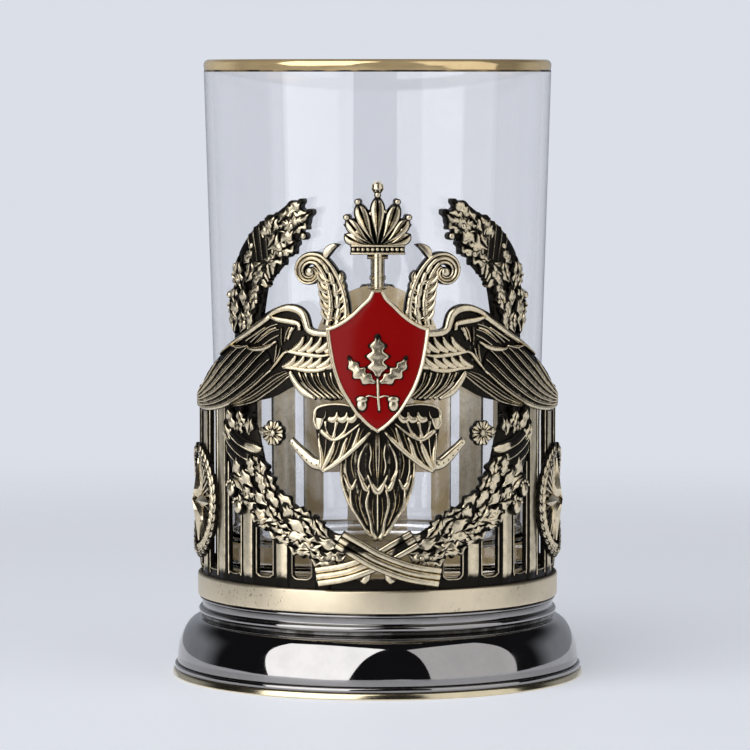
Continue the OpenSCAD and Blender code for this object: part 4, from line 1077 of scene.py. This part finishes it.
class PODSTAKANNIK_OT_scrolls(bpy.types.Operator):
    """Rolls the two leaf scrolls beside the finial"""
    bl_idname = "podstakannik.scrolls"
    bl_label = "Scrolls"

    def execute(self, context):
        made = finishes(context.scene.holder_sizes)
        shells = Shells()
        s0, z0, low = 12.4, 81.0, 70.8
        turn = np.radians(160 - np.linspace(0, 396, 34))
        radius = np.interp(np.linspace(0, 1, len(turn)), [0, 1], [3.0, 0.75])
        volute = np.stack([s0 + radius * np.cos(turn), z0 + radius * np.sin(turn)], 1)
        stem = shares([[0.6, 0], [0.575, 0.3], [0.6, 0.6], [0.68, 0.9]], (0, low), (s0, 10.2))
        line = curve(np.vstack([stem, volute[::3]]), 80)
        share = np.linspace(0, 1, len(line))
        widths = np.interp(share, [0, 0.3, 0.6, 1], [2.6, 1.9, 1.25, 0.7])

        def height(t, u):
            body = 0.4 * round_top(u)
            flutes = 0.6 * np.abs(np.sin(np.pi * 1.5 * (u + 1))) ** 0.7
            notch = 0.25 * np.abs(np.sin(34 * t + 2 * u)) ** 8 * (np.abs(u) < 0.36) * (t < 0.5)
            return 0.9 * (body + flutes - notch)
        shells.strip(line, widths, height, 36.6, RELIEF_R, 26, dark=0.42)
        dome(shells, (s0, z0), 0.95, 0.8, 37.0)
        for k in range(5):
            z = 72.0 + 1.75 * k
            leaf(shells, (7.6 + 0.12 * k, z), (9.9 + 0.25 * k, z + 2.9), 1.6, 0.6, 36.9, -0.25,
                 vein=0.4)
            leaf(shells, (7.0 + 0.1 * k, z - 0.3), (5.5 + 0.35 * k, z + 2.4), 1.3, 0.5, 36.9, 0.25,
                 vein=0.4)
        leaf(shells, (9.6, 83.4), (6.9, 86.2), 1.6, 0.6, 36.7, -0.2)
        pair("scroll", shells, "antique_metal", made["casting"])
        return {"FINISHED"}


class PODSTAKANNIK_OT_lobes(bpy.types.Operator):
    """Casts the ribbed lobes and the leafy drop under the shield"""
    bl_idname = "podstakannik.lobes"
    bl_label = "Lobes and drop"

    def execute(self, context):
        made = finishes(context.scene.holder_sizes)
        back = 36.8
        shells = Shells()
        area(shells, [(0.3, 50.4), (2.8, 48.4), (5.9, 45.7), (8.2, 44.0), (10.3, 42.9)],
             [(2.6, 55.4), (5.4, 56.0), (8.0, 56.2), (10.6, 55.7), (11.7, 54.0)], 40, 10, 0.12,
             36.9, 0.05, back=back)
        ridges(shells, 37.1, (
            # Cap bar, and the shell's lower edge
            ([(3.4, 55.2), (5.4, 55.8), (7.2, 56.0), (8.8, 55.9), (10.5, 55.5), (11.3, 54.8),
              (11.6, 53.4), (11.4, 52.2), (10.7, 51.0)],
             [0.14, 0.2, 0.2, 0.24, 0.34, 0.42, 0.3]),
            ([(3.0, 52.5), (4.7, 51.0), (6.3, 49.8), (7.9, 49.2), (9.1, 49.9), (10.6, 51.1)],
             [0.12, 0.26, 0.32, 0.34, 0.55, 0.4]),
            ([(5.2, 52.8), (5.9, 51.0), (6.8, 49.9), (7.8, 49.3)], [0.3, 0.24, 0.4, 0.2]),
            ([(7.4, 52.8), (7.7, 51.0), (8.1, 49.4)], [0.42, 0.26, 0.5]),
            ([(9.5, 52.8), (9.3, 51.4), (8.9, 50.2)], [0.36, 0.18, 0.3]),
            # Pointed ribs that gather in the outer tip
            ([(1.2, 50.9), (2.8, 49.1), (4.4, 47.5), (5.9, 46.1), (8.2, 44.3), (10.3, 43.0)],
             [0.2, 0.42, 0.48, 0.44, 0.5, 0.3]),
            ([(3.2, 51.7), (3.9, 49.3), (4.5, 47.6)], [0.12, 0.36, 0.42]),
            ([(5.4, 49.8), (6.1, 48.1), (6.8, 45.8), (8.2, 44.5)], [0.14, 0.44, 0.5, 0.4]),
            ([(7.7, 49.1), (8.7, 46.4), (9.6, 44.5), (10.3, 43.2)], [0.2, 0.55, 0.55, 0.3]),
            ([(10.7, 50.5), (10.6, 48.6), (10.3, 46.2), (10.4, 43.3)], [0.14, 0.36, 0.44, 0.3]),
            ([(2.2, 51.8), (3.0, 50.4), (3.5, 48.6)], 0.08),
            ([(4.5, 50.8), (5.2, 48.6), (5.9, 46.7)], 0.09),
            ([(6.8, 49.2), (7.5, 46.8), (8.6, 44.6)], 0.1),
            ([(9.3, 49.6), (9.5, 47.0), (10.1, 44.2)], 0.12)), 0.4, 26, back)
        # Scallops under the cap, the outer one a bright wedge
        for s in (3.9, 5.5, 7.3):
            ridge(shells, [(s - 0.1, 54.6), (s + 0.15, 53.6), (s + 0.85, 53.0), (s + 1.7, 53.3)],
                  [0.16, 0.44, 0.66, 0.44], 37.2, 0.4, back=back)
        rod(shells, [(10.5, 53.5), (10.6, 52.4), (10.65, 51.0)], [0.95, 0.75, 0.12], 0.4, 37.2, 12,
            10, taper=0.1, power=5, back=back)
        ridge(shells, [(9.3, 54.8), (9.4, 54.0), (9.7, 53.2)], [0.05, 0.12, 0.2], 37.2, 0.4,
              back=back)
        pair("lobe", shells, "antique_metal", made["casting"])
        # Drop: leaf outlines in two tiers on a dark body, with a long shaft
        z = np.linspace(29.9, 51.2, 40)
        half = 7.2 * np.interp((z - 29.6) / 22, np.linspace(0, 1, 9),
                               [0.06, 0.34, 0.62, 0.82, 0.96, 1, 1, 0.92, 0.8])
        side = Shells()
        ridges(side, 35.75, (
            ([(1.4, 40.8), (2.0, 39.6), (2.9, 41.2), (3.8, 43.6)], [0.14, 0.56, 0.34, 0.12]),
            ([(3.9, 41.8), (5.0, 39.9), (6.4, 42.6)], [0.14, 0.55, 0.16]),
            ([(2.1, 48.6), (3.2, 46.2), (3.5, 43.6), (2.4, 41.2)], [0.14, 0.28, 0.26, 0.16]),
            ([(1.5, 48.6), (1.2, 46.4), (1.5, 44.2), (1.1, 42.2)], 0.17),
            ([(4.4, 47.4), (4.9, 44.6), (4.3, 41.6)], 0.12),
            ([(5.9, 46.0), (5.9, 43.2), (5.3, 40.8)], 0.14),
            ([(0.75, 48.0), (0.8, 45.4), (0.6, 42.4)], 0.08),
            ([(6.6, 45.0), (6.8, 42.8), (6.5, 41.4)], 0.09),
            ([(1.5, 39.8), (2.05, 36.9), (1.3, 33.6), (1.0, 31.6), (0.2, 29.9)],
             [0.14, 0.42, 0.3, 0.36, 0.5]),
            ([(5.1, 39.8), (4.8, 36.6), (3.2, 33.8), (2.1, 31.8), (1.0, 30.6)],
             [0.16, 0.36, 0.3, 0.34, 0.24]),
            (np.stack([half * 0.95, z], 1)[2:-9:3], [0.3, 0.3, 0.26, 0.34, 0.3, 0.26, 0.1]),
            ([(3.0, 39.9), (3.3, 36.9), (2.4, 34.1), (1.7, 32.6)], 0.13),
            ([(0.8, 38.4), (0.95, 35.5), (0.6, 32.8)], 0.1),
            ([(6.3, 39.2), (5.6, 37.2), (4.4, 35.0)], 0.12),
            ([(4.0, 39.2), (4.0, 37.2), (3.4, 35.2)], 0.08)), 0.45, 26)
        drop = Shells()
        # The body's tone rises along the middle of each vane: painted soft highlights
        drop.strip(np.stack([0 * z, z], 1), half,
                   lambda t, u: 0.45 * round_top(u) + 0.12 * np.abs(np.cos(3.5 * np.pi * u)),
                   RELIEF_R, RELIEF_R, 40,
                   tone=lambda t, u: 0.1 + 0.36 * np.abs(np.cos(3.5 * np.pi * u)) ** 3)
        drop.join(side)
        drop.join(side.mirrored())
        for s in (-0.28, 0.28):
            ridge(drop, [(s, 51.0), (s, 46.0), (0.3 * s, 41.6)], 0.14, 35.85, 0.45)
        ridge(drop, [(-1.9, 42.6), (-1.0, 40.6), (0, 39.2), (1.0, 40.6), (1.9, 42.6)],
              [0.14, 0.38, 0.7, 0.38, 0.14], 35.9, 0.45)
        ridge(drop, [(0, 39.2), (0, 35.0), (0, 31.4)], 0.18, 35.9, 0.4)
        piece("tail_husk", drop, "antique_metal", made["casting"])
        return {"FINISHED"}


class PODSTAKANNIK_OT_stems(bpy.types.Operator):
    """Adds the curved stems and the rosettes at their ends"""
    bl_idname = "podstakannik.stems"
    bl_label = "Stems and rosettes"

    def execute(self, context):
        made = finishes(context.scene.holder_sizes)
        shells = Shells()
        line = [(10.6, 44.3), (12.2, 44.6), (14.6, 46.6), (17.0, 48.9)]
        rod(shells, line, [1.2, 1.2, 1.1, 0.85, 0.7], 0.8, 35.5, 26, 10, taper=0.05, dark=0.2,
            power=4)
        for k in range(6):
            dome(shells, (11.5 + 0.95 * k, 44.3 + 0.2 * k + 0.12 * k * k), 0.16, 0.06, 36.28,
                 tone=0.0)
        pair("stem", shells, "antique_metal", made["polished"])
        shells = Shells()
        middle = np.array([20.6, 50.0])
        for k in range(8):
            way = unit(math.radians(22.5 + 45 * k))
            leaf(shells, middle + way * 0.5, middle + way * 2.55, 1.75, 0.5, 36.0, vein=0.6,
                 blunt=1.8, across=10)
        dome(shells, middle, 0.85, 0.6, 36.1)
        for k in range(6):
            dome(shells, middle + 0.55 * unit(math.radians(60 * k)), 0.2, 0.2, 36.55)
        leaf(shells, (22.4, 50.0), (24.2, 50.2), 1.6, 0.45, 35.7, 0.1)
        pair("rosette", shells, "antique_metal", made["casting"])
        return {"FINISHED"}


class PODSTAKANNIK_OT_ribbons(bpy.types.Operator):
    """Crosses the ribbons over the stalks of the garlands"""
    bl_idname = "podstakannik.ribbons"
    bl_label = "Ribbons"

    def execute(self, context):
        made = finishes(context.scene.holder_sizes)
        line = shares([[-0.62, 1], [-0.3, 0.72], [0, 0.45], [0.5, 0.15], [1, 0]], (0, 23),
                      (11, 7.4))

        def strands(u):
            """Three flat strands side by side."""
            return flat_top((((u + 1) * 1.5) % 1 - 0.5) * 2.3, 6)

        def wear_and_painted_light(t, u):
            """Bright strands; the lower two go dark near the upper end, a painted shade."""
            dark = smooth(t, 0.05, 0.1) * (1 - smooth(t + 0.14 * u, 0.2, 0.36))
            return strands(u) * np.clip(t * 25, 0, 1) * (1 - 0.95 * (dark * smooth(u, -0.4, -0.3)))
        for name, back, sign in (("right_ribbon", 37.9, 1), ("left_ribbon", 36.9, -1)):
            shells = Shells()
            shells.strip(curve(line * [sign, 1], 30), 1.9, lambda t, u: 0.3 + 0.4 * strands(u),
                         back + 0.05, back, 36, tone=wear_and_painted_light)
            piece(name, shells, "antique_metal", made["polished"])
        shells = Shells()
        for sign in (1, -1):
            points = shares([[0.25, 1], [0.5, 0.6], [1, 0]], (0, 21.7), (2.9 * sign, 4.4))
            rod(shells, points, [0.4, 0.5, 0.6, 0.95, 0.6], 0.6, 35.55, 20, 8, taper=0.08,
                dark=0.1)
        piece("garland_stalks", shells, "antique_metal", made["polished"])
        return {"FINISHED"}


class PODSTAKANNIK_OT_medallions(bpy.types.Operator):
    """Sets the side wreaths and the plain faceted stars in them"""
    bl_idname = "podstakannik.medallions"
    bl_label = "Side wreaths"

    def execute(self, context):
        made = finishes(context.scene.holder_sizes)
        centre, mid = np.array([48.6, 35.0]), 10.0
        shells = Shells()
        a = np.linspace(0, 2 * np.pi, 73)[:-1]
        shells.strip(centre + mid * np.stack([np.cos(a), np.sin(a)], 1), 1.25,
                     lambda t, u: 0.35 * round_top(u), 35.4, ring=True)
        for sign in (1, -1):
            for k in range(17):
                out = unit(math.radians(-90 + sign * (6 + 10.0 * k)))
                run = np.array([-out[1], out[0]]) * sign
                for lean, off in ((0.5, 0.55), (-0.5, -0.55), (0.0, 0.0)):
                    way = swing(run, out, lean)
                    middle = centre + mid * out + out * off
                    leaf(shells, middle - way * 1.15, middle + way * 1.3, 1.25, 0.5,
                         35.75 if lean else 35.9, lean * 0.2, vein=0.35, count=9, across=6)
        for b in (-90, 90):
            for k in (-1, 0, 1):
                dome(shells, centre + mid * unit(math.radians(b + 5 * k)), 0.6, 0.6, 36.0)
        pair("medallion", shells, "antique_metal", made["casting"])
        # Star: eight faceted points over a burst of thin rays
        shells = Shells()
        for k in range(32):
            way = unit(math.radians(90 + 11.25 * k))
            reach = 7.9 if k % 2 else 7.2
            shells.strip(centre + way * np.linspace(1.5, reach, 6)[:, None],
                         np.linspace(0.16, 0.42, 6), lambda t, u: 0.3 * (1 - np.abs(u)), 35.4,
                         across=4)
        rows, u = np.linspace(0.0, 1, 9), np.linspace(-1, 1, 3)
        half = np.where(rows < 0.3, rows / 0.3, (1 - rows) / 0.7) * 1.45 + 0.02
        peak = 1 - np.abs(u)
        crown = np.interp(rows, [0, 0.3, 1], [1.35, 0.95, 0.2])[:, None] * peak
        for k in range(8):
            way = unit(math.radians(90 + 45 * k))
            side = np.array([-way[1], way[0]])
            long = 5.2 if k % 2 else 8.1
            flat = (centre + way * (rows * long)[:, None])[:, None] \
                + side * (half[:, None] * u)[..., None]
            shells.grid(np.dstack([flat, 35.75 + crown]), 0.55 + 0.45 * peak[None], RELIEF_R)
        pair("star", shells, "antique_metal", made["polished"], sharp=12)
        return {"FINISHED"}


# Where the posts stand on the right-hand side, and how far apart
POST_PITCH = 8.54
POSTS = [10.8 + POST_PITCH * k for k in range(10)]


class PODSTAKANNIK_OT_cage(bpy.types.Operator):
    """Casts the posts, the framed windows, the sill and the rail"""
    bl_idname = "podstakannik.cage"
    bl_label = "Cage"

    def execute(self, context):
        made = finishes(context.scene.holder_sizes)
        # Radii of the inside and of the web; heights; arc lengths at which the rail starts and
        # ends; half widths of a post and a window, and where the web starts beside a post's middle
        inner, web = 34.0, 34.7
        foot, sill, rail_low, rail_top, lintel = 20.3, 22.2, 54.0, 57.0, 1.9
        rail_start, rail_end = 33.5, 94.6
        post_half, window_half, web_start = 1.5, 1.95, 1.4
        shells = Shells()

        def inside_tone(z):
            """Relief of the inside: dark low down, light metal above."""
            return np.tile(0.9 * smooth(z, 24.5, 31), 2)

        def top_of(s):
            """Where a post ends: behind the garland in front of it, or with the rail."""
            if s >= rail_start:
                return rail_top
            return min(float(np.interp(s, *np.transpose(GARLAND))), rail_low)

        def sheet(ends, z_low, z_high, relief=0.15, across=4):
            """A flat piece of the web with bevelled edges, between two arc lengths."""
            bevel, (s_low, s_high) = 0.1, sorted(ends)
            s = np.concatenate([[s_low, s_low + bevel],
                                np.linspace(s_low + bevel, s_high - bevel, across)[1:-1],
                                [s_high - bevel, s_high]])
            rows = max(2, int((z_high - z_low) / 4))
            z = np.concatenate([[z_low], np.linspace(z_low + bevel, z_high - bevel, rows),
                                [z_high]])
            grid = np.dstack(np.meshgrid(s, z))
            edge = np.ones(grid.shape[:2], bool)
            edge[1:-1, 1:-1] = False
            shells.grid(np.dstack([grid, np.where(edge, web - bevel, web)]),
                        np.where(edge, relief * 0.3, relief), inner, inside=inside_tone(z))

        def post(s, top):
            """A flat-fronted post with a stepped edge on each side."""
            z = np.linspace(foot, top, max(4, int((top - foot) / 2.5)))
            u = np.array([-1.5, -1.45, -1.3, -1.22, -1.1, 0, 1.1, 1.22, 1.3, 1.45, 1.5])
            r = WALL_R - np.array([0.45, 0.3, 0.22, 0.06, 0.0, 0, 0.0, 0.06, 0.22, 0.3, 0.45])
            shade = np.array([0, 0, 0.1, 0.6, 1, 1, 1, 0.6, 0.1, 0, 0])
            size = (len(z), len(u))
            front = np.dstack([np.broadcast_to(part, size) for part in (s + u, z[:, None], r)])
            front[0, :, 2] -= 0.3
            shade = np.broadcast_to(shade, size).copy()
            shade[0] = 0
            shells.grid(front, shade, inner, inside=inside_tone(z))

        def window(side, s, top):
            """The web round the window beyond a post, and a thin frame line with rounded feet."""
            low, high = sorted((side * (s + web_start), side * (s + POST_PITCH - web_start)))
            mid, head = side * (s + POST_PITCH / 2), min(top - lintel, rail_low)
            a, b = mid - window_half, mid + window_half
            sheet((low, high), foot, sill)
            if head < rail_low:
                sheet((low, high), head, top - 0.3)
            sheet((low, a), sill, head)
            sheet((b, high), sill, head)
            line = [(a - 0.16, head), (a - 0.16, sill + 1.1), (a + 0.12, sill + 0.35),
                    (a + 0.75, sill - 0.1), (mid, sill - 0.14), (b - 0.75, sill - 0.1),
                    (b - 0.12, sill + 0.35), (b + 0.16, sill + 1.1), (b + 0.16, head)]
            shells.strip(curve(line, 46), 0.2, lambda t, u: 0.42 * round_top(u), web - 0.12,
                         inner + 0.1, 6)

        for side in (1, -1):
            for s in POSTS:
                post(side * s, top_of(s))
                if s < POSTS[-1]:
                    window(side, s, top_of(s))
            # A narrow window between the last post and the back plate
            a, b = side * 91.4, side * 93.8
            sheet((side * (POSTS[-1] + post_half), a), foot, rail_top, 0.1)
            sheet((b, side * rail_end), foot, rail_top, 0.1)
            sheet((a, b), foot, sill, 0.1)
            sheet((a, b), rail_low, rail_top, 0.1)
        for side in (1, -1):
            s = np.linspace(rail_start, rail_end, 90) * side
            z = np.array([54.0, 54.08, 54.35, 54.5, 54.7, 56.3, 56.5, 56.65, 56.92, 57.0])
            r = WALL_R - np.array([0.12, 0.02, 0.02, 0.2, 0.22, 0.22, 0.2, 0.02, 0.02, 0.12])
            shade = np.array([0.3, 1, 1, 0.15, 0.7, 0.7, 0.15, 1, 1, 0.3])
            size = (len(s), len(z))
            shells.grid(np.dstack([np.broadcast_to(part, size) for part in (s[:, None], z, r)]),
                        shade[None], inner, inside=0.9)
        # The sill runs on under the crossing
        sheet((-9.2, 9.2), foot, sill, across=14)
        piece("cage", shells, "antique_metal", made["posts"])
        return {"FINISHED"}


# Middle lines of the strap and its thumb rest, as shares of its reach and its rise
STRAP = [(0, 1), (0.3, 1.12), (0.65, 1.06), (0.88, 0.72), (0.92, 0.4), (0.78, 0.06), (0.5, -0.16),
         (0.2, -0.1), (0, 0)]
THUMB_REST = [(0.35, 1.14), (0.6, 1.24), (0.85, 1.3), (1, 1.24)]


class PODSTAKANNIK_OT_handle(bpy.types.Operator):
    """Forges the handle and finishes the back plate and its rivets"""
    bl_idname = "podstakannik.handle"
    bl_label = "Handle and back plate"

    def execute(self, context):
        made = finishes(context.scene.holder_sizes)
        # The strap's lower end as (y, z), its reach and rise, and the points round it
        start, size, around = (36.3, 33.0), (25.0, 31.0), 32
        shells = Shells()

        def sweep(line, half_w, half_t):
            """A strap with rounded edges and two grooves, bent along a line of (y, z)."""
            m = len(line)
            run = np.gradient(line, axis=0)
            run /= np.linalg.norm(run, axis=1, keepdims=True)
            out = np.stack([run[:, 1], -run[:, 0]], 1)
            a = np.linspace(0, 2 * np.pi, around + 1)[:-1]
            x = np.sign(np.cos(a)) * np.abs(np.cos(a)) ** 0.45
            y = np.sign(np.sin(a)) * np.abs(np.sin(a)) ** 0.6
            groove = np.exp(-((np.abs(x) - 0.72) / 0.09) ** 2) * (np.abs(y) > 0.5)
            y = y * (1 - 0.22 * groove)
            w, t = (np.broadcast_to(half, m)[:, None] for half in (half_w, half_t))
            points = np.stack([x * w, line[:, :1] + out[:, :1] * y * t,
                               line[:, 1:] + out[:, 1:] * y * t], -1)
            rows = np.arange(m * around).reshape(m, around)
            nxt = np.roll(rows, -1, 1)
            quads = np.stack([rows[:-1], nxt[:-1], nxt[1:], rows[1:]], -1).reshape(-1, 4)
            tris = [(m * around, b, a) for a, b in zip(rows[0], nxt[0])]
            tris += [(m * around + 1, a, b) for a, b in zip(rows[-1], nxt[-1])]
            shade = np.broadcast_to(1 - 0.9 * groove, (m, around)).ravel()
            shells.add(np.vstack([points.reshape(-1, 3), [[0, *line[0]], [0, *line[-1]]]]),
                       np.concatenate([shade, [1, 1]]), quads, tris)

        sweep(curve(shares(STRAP, start, size), 72), 4.0, 1.7)
        sweep(curve(shares(THUMB_REST, start, size), 20),
              np.interp(np.linspace(0, 1, 20), [0, 0.7, 1], [2.6, 4.0, 2.4]), 0.85)
        # Pads that follow the wall at both ends of the strap
        half = 5
        s = np.linspace(-half, half, 15)
        shade = 0.4 + 0.6 * np.clip((half - np.abs(s)) / 0.5, 0, 1)[None] ** 0.5
        lift = np.array([0.8, 1.7, 1.95, 1.95, 1.7, 0.8])
        for z in (start[1] + size[1], start[1]):
            grid = np.dstack(np.meshgrid(s, z + np.array([-3.5, -3.3, -2.9, 2.9, 3.3, 3.5])))
            pad = Shells()
            pad.grid(np.dstack([grid, RELIEF_R + lift[:, None] * shade]), shade, RELIEF_R)
            pad.points = [wrapped(np.vstack(pad.points)) / MM * [-1, -1, 1]]
            shells.join(pad)
        piece("handle", shells, "antique_metal", made["posts"], place=in_mm, sharp=35)
        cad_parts["back_plate"].data.materials[0] = made["plate"]
        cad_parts["handle_rivets"].data.materials[0] = made["steel"]
        return {"FINISHED"}


class PODSTAKANNIK_OT_stage(bpy.types.Operator):
    """Sets up the table, the two softboxes, the surroundings and the camera"""
    bl_idname = "podstakannik.stage"
    bl_label = "Studio"

    def execute(self, context):
        scene = context.scene
        sizes = scene.stage_sizes
        scene.view_settings.view_transform = "Standard"
        scene.view_settings.look = "None"
        pale = (*sizes.backdrop, 1)

        # A round table top that fades into the backdrop, just under the part
        a, rings = np.linspace(0, 2 * np.pi, 97)[:-1], (0.05, 0.1, 0.2, 0.3, 0.42, 0.55)
        flat = [np.stack([r * np.sin(a), -r * np.cos(a), 0 * a], 1) for r in rings]
        rows = 1 + np.arange(len(rings) * len(a)).reshape(-1, len(a))
        nxt = np.roll(rows, -1, 1)
        faces = np.stack([rows[:-1], rows[1:], nxt[1:], nxt[:-1]], -1).reshape(-1, 4).tolist()
        faces += np.stack([0 * rows[0], rows[0], nxt[0]], 1).tolist()
        mesh = bpy.data.meshes.new("table_top")
        mesh.from_pydata(np.vstack([[[0, 0, 0]], *flat]) - [0, 0, 1e-5], [], faces)
        material = bpy.data.materials.new("Table top")
        material.use_nodes = True
        t = Tree(material.node_tree)
        place = t.place()
        far = t.add("VectorMath", {0: place}, operation="LENGTH").outputs["Value"]
        surface = t.tree.nodes["Principled BSDF"].inputs
        for key, constant in (("Roughness", 0.5), ("Specular IOR Level", 0.25),
                              ("Emission Color", pale), ("Emission Strength", 0.46)):
            surface[key].default_value = constant
        grain = t.ramp(t.noise(place, 900.0, 3.0), 0.3, 0.7)
        t.give(surface, Base_Color=t.mix(grain, rgb(228, 231, 238), rgb(233, 235, 241)),
               Alpha=t.ramp(far, 0.2, 0.5, 1.0, 0.0))
        mesh.materials.append(material)
        top = bpy.data.objects.new("table_top", mesh)
        scene.collection.objects.link(top)

        # Surroundings: pale behind the object, dark round the camera
        world = bpy.data.worlds.new("Studio")
        world.use_nodes = True
        scene.world = world
        t = Tree(world.node_tree)
        world.node_tree.nodes.clear()
        _, y, z = t.add("SeparateXYZ", {0: t.add("TexCoord").outputs["Generated"]}).outputs
        behind = t.math("MULTIPLY", t.ramp(y, 0.2, 0.55), t.ramp(z, 0.55, 0.2))
        room = t.mix(behind, (0.012, 0.012, 0.014, 1), (0.31, 0.33, 0.37, 1))
        seen = t.add("LightPath").outputs
        direct = t.math("MAXIMUM", seen["Is Camera Ray"], seen["Is Transmission Ray"])
        shown = t.add("Background", {"Color": t.mix(direct, room, pale)})
        t.add("OutputWorld", {"Surface": shown.outputs[0]})

        # Two tall softboxes that lean over the object from the front left and right
        distance, up = 1.15, math.radians(29)
        for name, turn, power, wide, tall, lift, tip in (
                ("left", -40, 1.0, 1.2, 1.75, 0.05, 29), ("right", 57, 0.36, 1.15, 1.7, 0.12, 8)):
            light = bpy.data.lights.new("softbox_" + name, "AREA")
            light.shape, light.size, light.size_y = "RECTANGLE", wide, tall
            light.energy = sizes.box_power * power
            light.color = (0.97, 0.98, 1.0)
            lamp = bpy.data.objects.new("softbox_" + name, light)
            scene.collection.objects.link(lamp)
            az = math.radians(turn)
            way = Vector((math.sin(az) * math.cos(up), -math.cos(az) * math.cos(up),
                          math.sin(up)))
            lamp.location = way * distance + Vector((0, 0, lift))
            lamp.rotation_euler = (math.radians(90 - tip), 0, az)

        # The camera stands a little to the left of the axis
        aside = -0.00049
        camera = bpy.data.cameras.new("camera")
        camera.lens, camera.sensor_width = sizes.lens, 36
        eye = bpy.data.objects.new("camera", camera)
        eye.location = (aside, -sizes.camera_distance, sizes.camera_height)
        eye.rotation_euler = (math.pi / 2 - sizes.pitch, 0, 0)
        scene.collection.objects.link(eye)
        scene.camera = eye
        return {"FINISHED"}


class PODSTAKANNIK_PT_panel(bpy.types.Panel):
    """Lists the steps that dress the holder"""
    bl_idname = "PODSTAKANNIK_PT_panel"
    bl_label = "Podstakannik"
    bl_space_type = "VIEW_3D"
    bl_region_type = "UI"
    bl_category = "Podstakannik"

    def draw(self, context):
        for sizes in (context.scene.holder_sizes, context.scene.stage_sizes):
            box = self.layout.box()
            for key in sizes.__annotations__:
                box.prop(sizes, key)
        for step in STEPS:
            self.layout.operator(step.bl_idname)


STEPS = (PODSTAKANNIK_OT_glass, PODSTAKANNIK_OT_foot, PODSTAKANNIK_OT_cage,
         PODSTAKANNIK_OT_handle, PODSTAKANNIK_OT_garlands, PODSTAKANNIK_OT_branches,
         PODSTAKANNIK_OT_wings, PODSTAKANNIK_OT_shield, PODSTAKANNIK_OT_finial,
         PODSTAKANNIK_OT_scrolls, PODSTAKANNIK_OT_lobes, PODSTAKANNIK_OT_stems,
         PODSTAKANNIK_OT_ribbons, PODSTAKANNIK_OT_medallions, PODSTAKANNIK_OT_stage)
CLASSES = (HolderSizes, StageSizes, *STEPS, PODSTAKANNIK_PT_panel)


def register():
    for kind in CLASSES:
        bpy.utils.register_class(kind)
    bpy.types.Scene.holder_sizes = PointerProperty(type=HolderSizes)
    bpy.types.Scene.stage_sizes = PointerProperty(type=StageSizes)


def unregister():
    del bpy.types.Scene.stage_sizes
    del bpy.types.Scene.holder_sizes
    for kind in reversed(CLASSES):
        bpy.utils.unregister_class(kind)


def main():
    register()
    for step in STEPS:
        module, name = step.bl_idname.split(".")
        getattr(getattr(bpy.ops, module), name)()


if __name__ == "__main__":
    main()
